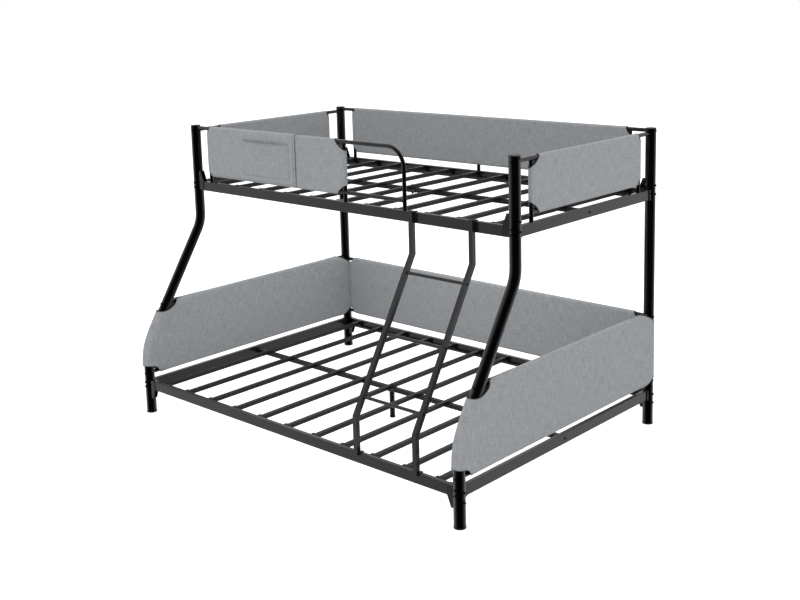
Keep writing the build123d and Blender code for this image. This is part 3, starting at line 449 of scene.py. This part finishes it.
def cut_line(corner, along, up, toward_u, toward_v):
    """Places and heights along a bowed cut across a sleeve's corner, from its side to its end."""
    start = np.array([corner[0], corner[1] + toward_v * up])
    end = np.array([corner[0] + toward_u * along, corner[1]])
    inward = np.array([toward_u * up, toward_v * along]) / math.hypot(along, up)
    t = np.linspace(0, 1, 41)[:, None]
    line = start + (end - start) * t + inward * (CUT_BOW * math.hypot(along, up)) * 4 * t * (1 - t)
    return line[:, 0], line[:, 1]


def cut_edge(heights, u, v0, v1, toward, low_cut, high_cut):
    """Where a sleeve ends at each height: at u, and further in where its corners are cut."""
    low_u, low_v = cut_line((u, v0), *low_cut, toward, 1)
    high_u, high_v = cut_line((u, v1), *high_cut, toward, -1)
    line = np.full(len(heights), u)
    below = heights < v0 + low_cut[1]
    above = heights > v1 - high_cut[1]
    line[below] = np.interp(heights[below], low_v[::-1], low_u[::-1])
    line[above] = np.interp(heights[above], high_v, high_u)
    return line


# Distance in millimetres from a sleeve's ends over which its ripples die out
CALM_EDGE = 40


def drag_lines(u, v, low, high, seed):
    """Faint ripples of taut cloth, up to 1.2 either way, which die out towards the tubes."""
    du = (u - low[0]) / (high[0] - low[0])
    dv = (v - low[1]) / (high[1] - low[1])
    # Three crossing waves of unlike lengths in millimetres
    waves = (np.sin(u / 83 + 2.1 * seed) * 0.5 + np.sin(u / 37 + v / 61 + seed) * 0.3
             + np.sin(u / 149 - v / 43 + 3.7 * seed) * 0.4)
    inside = np.clip(np.sin(math.pi * np.clip(dv, 0, 1)), 0, 1) * np.clip(
        np.minimum(du, 1 - du) * (high[0] - low[0]) / CALM_EDGE, 0, 1)
    return waves * inside


def bag(name, u, v, half, to_world, settings, made, seed):
    """A sleeve: the grid u, v bulges by half to both sides, and its halves meet where half is 0."""
    rows, columns = u.shape
    low = (u.min(), v.min())
    high = (u.max(), v.max())
    ripple = drag_lines(u, v, low, high, seed) * settings.ripple / MM
    # Ripples show only where the sleeve has nearly its full depth
    between = np.clip((half / half.max() - 0.9) * 10, 0, 1)
    points = []
    for side in (1, -1):
        lift = side * half + (ripple if side > 0 else -0.7 * ripple[:, ::-1]) * between
        points += [to_world(u[j, i], v[j, i], lift[j, i])
                   for j in range(rows) for i in range(columns)]
    faces = quads(rows, columns) + quads(rows, columns, rows * columns, flip=True)
    # Lengths round the tubes and along the sleeve, over the bulge
    steep_v = np.hypot(np.diff(v, axis=0), np.diff(half, axis=0))
    turn = np.vstack([np.zeros(columns), np.cumsum(steep_v, axis=0)]) * MM
    steep_u = np.hypot(np.diff(u, axis=1), np.diff(half, axis=1))
    run = np.hstack([np.zeros((rows, 1)), np.cumsum(steep_u, axis=1)]) * MM + u[:, :1] * MM
    turn += v[0].mean() * MM
    front = [(run.flat[k], turn.flat[k]) for k in range(rows * columns)]
    back = [(run.flat[k], 2 * turn[-1].mean() - turn.flat[k]) for k in range(rows * columns)]
    corners = front + back
    uvs = [[corners[k] for k in face] for face in faces]
    piece = mesh_piece(name, points, faces, uvs, made)
    mesh = piece.data
    shell = bmesh.new()
    shell.from_mesh(mesh)
    bmesh.ops.remove_doubles(shell, verts=shell.verts, dist=0.02 * MM)
    bmesh.ops.recalc_face_normals(shell, faces=shell.faces)
    shell.to_mesh(mesh)
    loops = open_loops(shell)
    shell.free()
    thicken(piece, settings.thickness)
    return piece, loops


def open_loops(shell):
    """The open edges of a mesh as closed loops of points."""
    left = {edge for edge in shell.edges if edge.is_boundary}
    loops = []
    while left:
        edge = min(left, key=lambda e: e.index)
        left.discard(edge)
        start, tip = edge.verts
        loop = [start, tip]
        while tip != start:
            edge = next((e for e in tip.link_edges if e in left), None)
            if edge is None:
                break
            left.discard(edge)
            tip = edge.other_vert(tip)
            loop.append(tip)
        loops.append([tuple(vert.co) for vert in loop[:-1]])
    return loops


# Flat sides round a rolled hem
HEM_SIDES = 8


def rolled_hem(name, loops, radius, made, closed=True):
    """A rolled hem along each loop: a soft roll of doubled cloth."""
    points = []
    faces = []
    uvs = []
    for loop in loops:
        line = np.array(loop)
        count = len(line)
        ahead = np.roll(line, -1, axis=0) if closed else np.vstack([line[1:], line[-1:]])
        behind = np.roll(line, 1, axis=0) if closed else np.vstack([line[:1], line[:-1]])
        heading = ahead - behind
        heading /= np.linalg.norm(heading, axis=1)[:, None]
        # Slanted, so that no hem runs along it
        up = np.array([0.31, 0.17, 0.93])
        across = np.cross(heading, up)
        across /= np.linalg.norm(across, axis=1)[:, None]
        lift = np.cross(across, heading)
        along = lengths_along(line)
        first = len(points)
        for k in range(count):
            for side in range(HEM_SIDES):
                turn = 2 * math.pi * side / HEM_SIDES
                points.append(tuple(line[k] + radius * (math.cos(turn) * across[k]
                                                        + math.sin(turn) * lift[k])))
        for k in range(count if closed else count - 1):
            m = (k + 1) % count
            for side in range(HEM_SIDES):
                other = (side + 1) % HEM_SIDES
                here, there = first + k * HEM_SIDES, first + m * HEM_SIDES
                faces.append((here + side, here + other, there + other, there + side))
                # The cloth is about six radii wide round the hem
                x0 = side / HEM_SIDES * 6 * radius
                x1 = (side + 1) / HEM_SIDES * 6 * radius
                y0 = along[k]
                y1 = along[k] + np.linalg.norm(line[m] - line[k])
                uvs.append([(x0, y0), (x1, y0), (x1, y1), (x0, y1)])
    return mesh_piece(name, points, faces, uvs, made)


def girth(tall, half):
    """Length of cloth once round two tubes that stand tall apart over all."""
    return 2 * (tall - 2 * half) + 2 * math.pi * half


def sew(name, grid, to_world, settings, made, hem_cloth, seed):
    """Sews a sleeve and its hems, and stands it in for its solid."""
    piece, loops = bag(name + "_cloth", *grid, to_world, settings, made, seed)
    hem = rolled_hem(name + "_hems", loops, settings.hem_radius, hem_cloth)
    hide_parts(name)


# Grid of a guard's sleeve in millimetres
ROW_STEP = 14
COLUMN_STEP = 24
FIRST_COLUMNS = (8, 18)         # the first two columns past the fold round an upright
DIP_REACH = 30                  # distance from an upright over which the cloth starts to dip

# How far a cut bows inwards at its middle, as a share of its length
CUT_BOW = 0.1
# Cuts at the sleeves' corners in millimetres, along the sleeve and up: at its low-numbered end
# below and above, then at its other end below and above
CUTS = {
    "upper_front_cover": ((33, 35), (28, 38), (52, 43), (61, 49)),
    "upper_back_cover": ((40, 38), (29, 41), (40, 38), (29, 41)),
    "upper_left_cover": ((53, 48), (57, 46), (41, 39), (29, 41)),
    "upper_right_cover": ((53, 48), (57, 46), (41, 39), (29, 41)),
    "lower_back_cover": ((40, 36), (38, 34), (40, 36), (38, 34)),
}


def sleeve_place(name):
    """Where a guard's sleeve lies: its four outer lines, half its depth, and a map to the scene."""
    low, high = [np.array(c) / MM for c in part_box(name)]
    middle = (low + high) / 2
    deep = 1 if high[0] - low[0] > high[1] - low[1] else 0
    run = 1 - deep
    half = (high[deep] - low[deep]) / 2

    def to_world(u, v, lift):
        if deep == 1:
            return (u * MM, (middle[1] - lift) * MM, v * MM)
        return ((middle[0] + lift) * MM, u * MM, v * MM)
    return low[run], high[run], low[2], high[2], half, to_world


def frame_sleeve(name, settings, made, hem_cloth, seed):
    """The sleeve of one rectangular guard frame, with its hems."""
    u0, u1, v0, v1, r, to_world = sleeve_place(name)
    if name == "lower_back_cover":
        u0 -= settings.back_reach / MM
        u1 += settings.back_reach / MM
    cuts = CUTS[name]
    steps = fold_steps(r, 6)
    # Rows lie closer together where the corners are cut
    heights = np.unique(np.concatenate([
        [v0 + d for d in steps], [v1 - d for d in steps],
        np.linspace(v0 + 15, v0 + 60, 7), np.linspace(v1 - 60, v1 - 15, 7),
        np.arange(v0 + 72, v1 - 66, ROW_STEP)]))
    left = cut_edge(heights, u0, v0, v1, 1, *cuts[:2])
    right = cut_edge(heights, u1, v0, v1, -1, *cuts[2:])
    inner = np.linspace(0, 1, max(8, int((u1 - u0) / COLUMN_STEP)))[1:-1]
    near, far = [r + step for step in FIRST_COLUMNS]
    columns = [left + d for d in steps + [near, far]]
    columns += [(left + far) * (1 - t) + (right - far) * t for t in inner]
    columns += [right - d for d in [far, near] + steps[::-1]]
    u = np.column_stack(columns)
    v = np.repeat(heights[:, None], u.shape[1], axis=1)
    side = np.minimum(u - u0, u1 - u)
    end = np.minimum(v - v0, v1 - v)
    nearest = np.minimum(side, end)
    dip = settings.dip / MM * np.sin(math.pi * np.clip((v - v0 - r) / (v1 - v0 - 2 * r), 0, 1))
    half = r * fold(nearest, r) - dip * np.clip((side - r) / DIP_REACH, 0, 1)
    flat = (girth(v1 - v0, r) * MM, (u1 - u0 + 2 * r) * MM)
    sew(name, (u, v, half), to_world, settings, made, hem_cloth, seed)


# Lower bunk's end sleeves in millimetres, seen from the end of the bed: Y and height
POST_AXIS_Y = 684
POST_SLOPE = 362 / 568          # the front post leans back this much for each unit up
POST_BEND = 328                 # height where it starts to lean
LEAN_DELAY = 8                  # how far above the bend the cloth starts to lean
FOLD_REACH = 26.3               # from the post's axis to the fold of the cloth round it
BEND_EASE = 22                  # rounds the fold where the post bends
TUBE_HALF = 11.3                # half depth of the cloth over the tubes between the posts
BOTH_OVERRUNS = 52              # the sleeve's length past the posts' axes, both ends together
POST_HOLD = 10                  # distance from a post's axis that is as wide as the post
DRAW_IN = 105                   # distance over which the cloth draws in from post to tubes
TOP_EDGE = [(-620, 492), (-608, 490), (-592, 490), (-574, 491), (-556, 495), (-538, 502),
            (-523, 512), (-513, 525), (-505, 536.3), (-440, 536.3), (560, 536.3), (596, 536.3),
            (620, 531), (648, 518), (672, 503), (694, 490), (711, 485)]
BOTTOM_EDGE = [(-718, 241), (-704, 238), (-690, 236), (-676, 233), (-662, 229), (-650, 221),
               (-641, 207), (-633, 195), (-620, 188.5), (-600, 187.7), (-560, 187.7), (560, 187.7),
               (630, 187.7), (646, 194), (662, 210), (678, 222), (694, 226), (711, 227)]


def front_fold(z, slack):
    """Y of the front edge of an end sleeve, which follows the bent post."""
    straight = -POST_AXIS_Y - FOLD_REACH - slack
    lean = POST_SLOPE * (z - POST_BEND - LEAN_DELAY)
    return straight + BEND_EASE * np.logaddexp(0, lean / BEND_EASE)


def filled_between(bottom, top, left, right, shares, levels):
    """A grid of Y and height that blends from each of four edge lines to the one across."""
    s = shares[None, :, None]
    t = levels[:, None, None]
    patch = ((1 - t) * bottom[None] + t * top[None] + (1 - s) * left[:, None] + s * right[:, None]
             - ((1 - s) * (1 - t) * bottom[0] + s * (1 - t) * bottom[-1]
                + (1 - s) * t * top[0] + s * t * top[-1]))
    return patch[..., 0], patch[..., 1]


def end_sleeve(name, settings, made, hem_cloth, seed):
    """One end sleeve of the lower bunk, which wraps both posts and the frame between them."""
    low, high = [np.array(c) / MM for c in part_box(name)]
    middle_x = (low[0] + high[0]) / 2
    post_half = (high[0] - low[0]) / 2
    slack = settings.front_slack / MM
    steps = fold_steps(post_half, 8)
    length = 2 * POST_AXIS_Y + BOTH_OVERRUNS
    near = [d / length for d in steps]
    shares = np.unique(np.concatenate([
        near, np.linspace(near[-1], 0.16, 22), np.linspace(0.16, 0.90, 34),
        np.linspace(0.90, 1 - near[-1], 12), [1 - d for d in near]]))
    top_line = np.array(TOP_EDGE, float)
    bottom_line = np.array(BOTTOM_EDGE, float)
    front_top = front_fold(top_line[0, 1], slack)
    front_bottom = front_fold(bottom_line[0, 1], slack)
    top_line[0, 0] = front_top
    bottom_line[0, 0] = front_bottom
    top_y = front_top + shares * (high[1] - front_top)
    bottom_y = front_bottom + shares * (high[1] - front_bottom)
    top = np.column_stack([top_y, np.interp(top_y, *smooth_line(top_line, 400).T)])
    bottom = np.column_stack([bottom_y, np.interp(bottom_y, *smooth_line(bottom_line, 400).T)])
    tall = high[2] - low[2]
    levels = np.unique(np.concatenate([
        [d / tall for d in fold_steps(TUBE_HALF, 6)], np.linspace(0.05, 0.95, 24),
        [1 - d / tall for d in fold_steps(TUBE_HALF, 6)]]))
    left_z = bottom[0, 1] + levels * (top[0, 1] - bottom[0, 1])
    left = np.column_stack([front_fold(left_z, slack), left_z])
    right_z = bottom[-1, 1] + levels * (top[-1, 1] - bottom[-1, 1])
    right = np.column_stack([np.full(len(levels), high[1]), right_z])
    y, z = filled_between(bottom, top, left, right, shares, levels)
    # Half depth: the posts hold the cloth wide, and it draws in to the tubes between them
    lean = 1 / math.hypot(1, POST_SLOPE)
    front_axis = front_fold(z, 0) + FOLD_REACH
    behind = np.clip((y - front_axis) * lean - POST_HOLD, 0, None)
    before = np.clip(POST_AXIS_Y - y - POST_HOLD, 0, None)
    wide = np.clip(np.exp(-behind / DRAW_IN) + np.exp(-before / DRAW_IN), 0, 1)
    depth = TUBE_HALF + (post_half - TUBE_HALF) * wide
    tube_fold = TUBE_HALF + 1.2 * (depth - TUBE_HALF)
    to_front = (y - front_fold(z, slack)) * lean
    to_back = high[1] - y
    half = (depth * fold(to_front, post_half) * fold(to_back, post_half)
            * fold(z - low[2], tube_fold) * fold(high[2] - z, tube_fold))

    def to_world(u, v, lift):
        return ((middle_x + lift) * MM, u * MM, v * MM)
    sew(name, (y, z, half), to_world, settings, made, hem_cloth, seed)


class BED_OT_finish_steel(bpy.types.Operator):
    """Coat the posts, rails, guards, slats and ladder, and finish the plastic and the fixings"""
    bl_idname = "bed.finish_steel"
    bl_label = "Finish steel and plastic"

    def execute(self, context):
        settings = context.scene.bed_steel
        gloss = coated_steel("gloss_powder_coated_steel", settings.post_colour, 0.15, 0.5,
                             settings.coat_grain)
        satin = coated_steel("satin_powder_coated_steel", settings.rail_colour, 0.22, 0.5,
                             settings.coat_grain)
        # Copy of the coat for the slats and beams: rougher and less shiny, and its darker colour is
        # partly painted shade
        matt = coated_steel("matt_powder_coated_steel", settings.slat_colour_with_shade, 0.42, 0.35,
                            settings.coat_grain)
        plastic = moulded_plastic("moulded_polypropylene", settings.plastic_colour,
                                  settings.plastic_grain)
        oxide = black_oxide("black_oxide_steel", settings.fixing_colour)
        by_slot = {"black_plastic": plastic, "fixings": oxide}
        for part in frame["record"]["subparts"]:
            name = part["node"]
            if part["material_slot"] in by_slot:
                dress(name, by_slot[part["material_slot"]])
            elif part["material_slot"] != "black_powder_coat":
                continue
            elif name.startswith("post_") or name.endswith(("_guard", "_rail_brackets")):
                dress(name, gloss)
            elif name.endswith(("_slats", "_centre_beam")):
                dress(name, matt)
            else:
                dress(name, satin)
        return {"FINISHED"}


# Height of the band at the foot of a rail or slat that holds its rounded edges
FOOT_BAND = 2.5 * MM
# A height over the bolts of the lower rails and under those of the upper ones
BETWEEN_BUNKS = 656 * MM


def redrawn(name, suffix, move):
    """Stands a copy of a node's mesh, coat and all, in for the node, with its points moved."""
    mesh = frame["nodes"][name].data.copy()
    mesh.name = f"{name}_{suffix}"
    for vert in mesh.vertices:
        move(vert.co)
    piece = placed(mesh.name, mesh)
    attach(piece, "root")
    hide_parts(name)


class BED_OT_deepen_rails(bpy.types.Operator):
    """Draw the rails and the slats as deep as they show, from their solids"""
    bl_idname = "bed.deepen_rails"
    bl_label = "Deepen rails and slats"

    def execute(self, context):
        extra = context.scene.bed_steel.extra_depth

        def deepen(point):
            if point.z < foot + FOOT_BAND:
                point.z -= extra
        for bunk in ("lower", "upper"):
            for part in ("front_rail", "back_rail", "left_rail", "right_rail", "slats"):
                name = f"{bunk}_{part}"
                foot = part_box(name)[0][2]
                redrawn(name, "deep", deepen)
        return {"FINISHED"}


class BED_OT_raise_bolt_heads(bpy.types.Operator):
    """Draw the heads of the rail bolts as proud as they show"""
    bl_idname = "bed.raise_bolt_heads"
    bl_label = "Raise bolt heads"

    def execute(self, context):
        stretch = context.scene.bed_steel.head_stretch
        posts = [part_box(f"post_{side}") for side in ("front_left", "back_right")]
        ends = max(abs(posts[0][0][0]), abs(posts[1][1][0]))
        back = posts[1][1][1]
        fronts = (posts[0][0][1], posts[0][1][1] - (posts[1][1][1] - posts[1][0][1]))

        def raise_along(point):
            past = abs(point.x) - ends
            if past > 0:
                point.x += math.copysign(past * stretch, point.x)

        def raise_across(point):
            front = fronts[0] if point.z < BETWEEN_BUNKS else fronts[1]
            if point.y > back:
                point.y += (point.y - back) * stretch
            elif point.y < front:
                point.y += (point.y - front) * stretch
        redrawn("long_rail_bolts", "proud", raise_along)
        redrawn("end_rail_bolts", "proud", raise_across)
        return {"FINISHED"}


def cloths(context):
    """The sleeve cloth and the hem cloth, made once."""
    settings = context.scene.bed_cloth
    made = []
    for name, light, dark in (
            ("woven_heather_polyester", settings.light_thread, settings.dark_thread),
            ("woven_hem_polyester", settings.hem_colour, [c * 0.85 for c in settings.hem_colour])):
        if name not in bpy.data.materials:
            heather_weave(name, light, dark, settings.thread_pitch, settings.slub_width,
                          settings.slub_length)
        made.append(bpy.data.materials[name])
    return made


class BED_OT_sew_frame_sleeves(bpy.types.Operator):
    """Sew the sleeves of the four upper guards and of the lower back frame"""
    bl_idname = "bed.sew_frame_sleeves"
    bl_label = "Sew guard sleeves"

    def execute(self, context):
        for seed, name in enumerate(CUTS):
            frame_sleeve(name, context.scene.bed_cloth, *cloths(context), seed)
        return {"FINISHED"}


class BED_OT_sew_end_sleeves(bpy.types.Operator):
    """Sew the two end sleeves of the lower bunk, which wrap the posts"""
    bl_idname = "bed.sew_end_sleeves"
    bl_label = "Sew end sleeves"

    def execute(self, context):
        for seed, name in enumerate(("lower_left_cover", "lower_right_cover")):
            end_sleeve(name, context.scene.bed_cloth, *cloths(context), seed + 7)
        return {"FINISHED"}


# Book pocket in millimetres
PANEL_GAP = 0.3          # between the sleeve and the panel on it
PANEL_FLAP = 32          # how far the panel runs down the sleeve's back
EDGE_PRESS = 0.3         # how far the panel's edges are pressed down
SEAM_INSET = 14          # from the panel's free edge to its seam
POUCH_SPAN = (264, 586)  # from the left end of the solid's panel to the pouch's two sides
POUCH_RISE = 21          # from the guard's lower tube to the pouch's bottom seam
MOUTH_DROP = 33          # from the guard's top tube to the pouch's mouth
MOUTH_TURN = 7           # cloth turned in at the mouth
POUCH_LIFT = 1.0         # how far the pouch's cloth lies off the panel
SEAM_LIFT = 0.2          # how far its sewn sides do
MOUTH_TUCK = 1.6         # how far the turned-in cloth lies behind the mouth
LIP_SINK = 0.4           # how far the mouth's roll is sunk into the cloth
CUT_CLEARANCE = 3        # from the sleeve's cut corner to the panel


def panel_path(v0, v1, r, out):
    """The panel's lift and height: up the sleeve's front, over its top, a little down its back."""
    path = [(out - 0.4, v0 + r - 2)]
    path += [(out, z) for z in np.linspace(v0 + r + 8, v1 - r, 20)]
    path += [(out * math.cos(a), v1 - r + out * math.sin(a))
             for a in np.linspace(0, math.pi, 13)[1:]]
    path += [(-out, v1 - r - d) for d in np.linspace(PANEL_FLAP / 4, PANEL_FLAP, 4)]
    return np.array(path)


def panel_start(path, u0, v0, v1, r):
    """Where the panel begins along the sleeve at each height: it follows the corners' cuts."""
    heights = np.clip(path[:, 1], v0, v1)
    edge = cut_edge(heights, u0, v0, v1, 1, *CUTS["upper_front_cover"][:2])
    return np.maximum(u0 + r * 0.55, edge + CUT_CLEARANCE)


def pocket_panel(settings, place, out, end, made, hem_cloth):
    """The pocket's panel, with a rolled free edge and a seam beside it."""
    u0, _, v0, v1, r, to_world = place
    path = panel_path(v0, v1, r, out)
    along = lengths_along(path)
    start = panel_start(path, u0, v0, v1, r)
    shares = np.concatenate([[0, 0.005], np.linspace(0.02, 0.985, 40), [0.995, 1]])
    points = []
    corners = []
    for j, (lift, height) in enumerate(path):
        for share in shares:
            u = start[j] * (1 - share) + end * share
            # The sleeve's side rounds away under the panel's left edge
            side = fold(u - u0, r)
            edge = EDGE_PRESS if share in (0, 1) else 0
            points.append(to_world(u, height, (lift - edge) * (side if lift > 0 else 1)))
            corners.append((u * MM + 0.5, along[j] * MM + 0.3))
    faces = quads(len(path), len(shares))
    uvs = [[corners[k] for k in face] for face in faces]
    panel = mesh_piece("book_pocket_panel", points, faces, uvs, made)
    thicken(panel, settings.thickness)
    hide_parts("book_pocket")
    for name, inset, radius in (("book_pocket_edge", 0, 1.3 * MM),
                                ("book_pocket_seam", SEAM_INSET, 0.7 * MM)):
        line = [to_world(end - inset, height, lift) for lift, height in path]
        rolled_hem(name, [line], radius, hem_cloth, closed=False)


def pocket_pouch(settings, place, out, left, right, made):
    """The pouch, sewn down on three sides: it gapes and sags at its mouth."""
    _, _, v0, v1, r, to_world = place
    bottom, mouth = v0 + r + POUCH_RISE, v1 - r - MOUTH_DROP
    rows, columns = 22, 34
    points = []
    corners = []
    lip = []
    # The last row turns back in behind the mouth
    for j in range(rows + 1):
        t = min(j / (rows - 1), 1)
        for i in range(columns):
            s = i / (columns - 1)
            across = math.sin(math.pi * s) ** 0.6
            u = left + (right - left) * s
            v = bottom + (mouth - bottom) * t - settings.pouch_sag / MM * across * t ** 3
            gape = settings.pouch_gape / MM * across * (0.25 * t + 0.75 * t ** 4)
            lift = POUCH_LIFT if 0 < i < columns - 1 and j > 0 else SEAM_LIFT
            if j == rows:
                v -= MOUTH_TURN
                gape -= MOUTH_TUCK
            points.append(to_world(u, v, out + lift + gape))
            corners.append((u * MM + 0.9, v * MM + (2 * MOUTH_TURN * MM if j == rows else 0)))
            if j == rows - 1:
                lip.append(to_world(u, v, out + lift + gape - LIP_SINK))
    faces = quads(rows + 1, columns)
    uvs = [[corners[k] for k in face] for face in faces]
    pouch = mesh_piece("book_pocket_pouch", points, faces, uvs, made)
    thicken(pouch, 0.9 * MM)
    roll = rolled_hem("book_pocket_lip", [lip], 1.2 * MM, made, closed=False)


class BED_OT_sew_book_pocket(bpy.types.Operator):
    """Sew the panel and the pouch of the book pocket on the front sleeve"""
    bl_idname = "bed.sew_book_pocket"
    bl_label = "Sew book pocket"

    def execute(self, context):
        settings = context.scene.bed_cloth
        made, hem_cloth = cloths(context)
        low, high = [np.array(c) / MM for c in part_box("book_pocket")]
        place = sleeve_place("upper_front_cover")
        # Clear of the sleeve's half depth and its cloth
        out = place[4] + settings.thickness / MM + PANEL_GAP
        pocket_panel(settings, place, out, high[0], made, hem_cloth)
        pocket_pouch(settings, place, out, *[low[0] + span for span in POUCH_SPAN], made)
        return {"FINISHED"}


# Lamps in metres: height and width. Each is longer along the bed than it is wide.
LAMPS = {"lamp_over": (4.2, 3.2), "lamp_between": (1.04, 0.9)}
LAMP_STRETCH = 1.7
LAMP_Y = 0.1


def paper_floor(settings):
    """The paper under the bed."""
    reach = settings.floor_size / 2
    mesh = bpy.data.meshes.new("studio_floor")
    grid = [(x, y, 0.0) for y in (-reach, 0, reach) for x in (-reach, 0, reach)]
    mesh.from_pydata(grid, [], quads(3, 3))
    mesh.materials.append(plain_paper("rolled_studio_paper", settings.floor_colour))
    floor = placed("studio_floor", mesh)
    # Gloss looks past the floor to the sky, which gives it the studio's pale and dark sides
    floor.visible_glossy = False


def studio_sky(settings):
    """Even white light from all round, in which gloss alone sees one dark side."""
    world = bpy.data.worlds.new("studio_sky")
    world.use_nodes = True
    tree = world.node_tree
    tree.nodes.clear()
    rays = node(tree, "ShaderNodeLightPath")
    seen = node(tree, "ShaderNodeMath", {"operation": "MAXIMUM"},
                {0: rays.outputs["Is Camera Ray"], 1: rays.outputs["Is Transmission Ray"]})
    # Gloss sees the dark side of the studio, where the photographer stands
    heading = node(tree, "ShaderNodeTexCoord").outputs["Generated"]
    facing = node(tree, "ShaderNodeVectorMath", {"operation": "DOT_PRODUCT"},
                  {0: heading, 1: settings.dark_side})
    shade = node(tree, "ShaderNodeMapRange", {"interpolation_type": "SMOOTHSTEP"},
                 {"Value": facing.outputs["Value"], "From Min": -0.35, "From Max": 0.75,
                  "To Min": 1.0, "To Max": settings.dark_level})
    glossy = node(tree, "ShaderNodeMix", {"data_type": "FLOAT"},
                  {"Factor": rays.outputs["Is Glossy Ray"], "A": settings.sky_level,
                   "B": shade.outputs["Result"]})
    level = node(tree, "ShaderNodeMix", {"data_type": "FLOAT"},
                 {"Factor": seen.outputs["Value"], "A": glossy.outputs["Result"], "B": 1.0})
    sky = node(tree, "ShaderNodeBackground",
               links={"Color": (1, 1, 1, 1), "Strength": level.outputs["Result"]})
    node(tree, "ShaderNodeOutputWorld", links={"Surface": sky.outputs["Background"]})
    bpy.context.scene.world = world


def soft_lamp(name, power):
    """A broad lamp that neither the camera nor gloss sees."""
    height, width = LAMPS[name]
    light = bpy.data.lights.new(name, "AREA")
    light.shape = "RECTANGLE"
    light.size = width * LAMP_STRETCH
    light.size_y = width
    light.energy = power
    lamp = placed(name, light)
    lamp.location = (0, LAMP_Y, height)
    lamp.visible_camera = False
    lamp.visible_glossy = False


def photo_camera(settings):
    """The camera, at the photograph's viewing angle."""
    lens = bpy.data.cameras.new("photo_camera")
    lens.lens = settings.camera_lens
    lens.sensor_width = 36
    lens.shift_y = settings.camera_rise
    lens.clip_end = 100
    camera = placed("photo_camera", lens)
    camera.matrix_world = (
        Matrix.Translation(settings.camera_place)
        @ Matrix.Rotation(settings.camera_azimuth, 4, "Z")
        @ Matrix.Rotation(math.pi / 2 - settings.camera_elevation, 4, "X")
        @ Matrix.Rotation(settings.camera_roll, 4, "Z"))
    bpy.context.scene.camera = camera


class BED_OT_set_studio(bpy.types.Operator):
    """Lay the paper floor, hang the lamps and place the camera"""
    bl_idname = "bed.set_studio"
    bl_label = "Set up studio"

    def execute(self, context):
        settings = context.scene.bed_studio
        paper_floor(settings)
        studio_sky(settings)
        soft_lamp("lamp_over", settings.over_power)
        soft_lamp("lamp_between", settings.between_power)
        photo_camera(settings)
        context.scene.view_settings.view_transform = "Standard"
        return {"FINISHED"}


class BED_PT_panel(bpy.types.Panel):
    """Lists the steps that dress the bed"""
    bl_idname = "BED_PT_panel"
    bl_label = "Bunk bed"
    bl_space_type = "VIEW_3D"
    bl_region_type = "UI"
    bl_category = "Bunk bed"

    def draw(self, context):
        for group in GROUPS:
            box = self.layout.box()
            settings = getattr(context.scene, group)
            for name in settings.__annotations__:
                box.prop(settings, name)
        for step in STEPS:
            self.layout.operator(step.bl_idname)


STEPS = (BED_OT_set_studio, BED_OT_finish_steel, BED_OT_deepen_rails, BED_OT_raise_bolt_heads,
         BED_OT_sew_frame_sleeves, BED_OT_sew_end_sleeves, BED_OT_sew_book_pocket)
GROUPS = {"bed_steel": BedSteelSettings, "bed_cloth": BedClothSettings,
          "bed_studio": BedStudioSettings}


def register():
    """Registers the settings, the steps and the panel."""
    for name, group in GROUPS.items():
        bpy.utils.register_class(group)
        setattr(bpy.types.Scene, name, PointerProperty(type=group))
    for step in STEPS:
        bpy.utils.register_class(step)
    bpy.utils.register_class(BED_PT_panel)


def unregister():
    """Takes everything that register added away again."""
    bpy.utils.unregister_class(BED_PT_panel)
    for step in reversed(STEPS):
        bpy.utils.unregister_class(step)
    for name, group in GROUPS.items():
        delattr(bpy.types.Scene, name)
        bpy.utils.unregister_class(group)


def main():
    """Dresses the bed."""
    register()
    bpy.ops.bed.set_studio()
    bpy.ops.bed.finish_steel()
    bpy.ops.bed.deepen_rails()
    bpy.ops.bed.raise_bolt_heads()
    bpy.ops.bed.sew_frame_sleeves()
    bpy.ops.bed.sew_end_sleeves()
    bpy.ops.bed.sew_book_pocket()


if __name__ == "__main__":
    main()
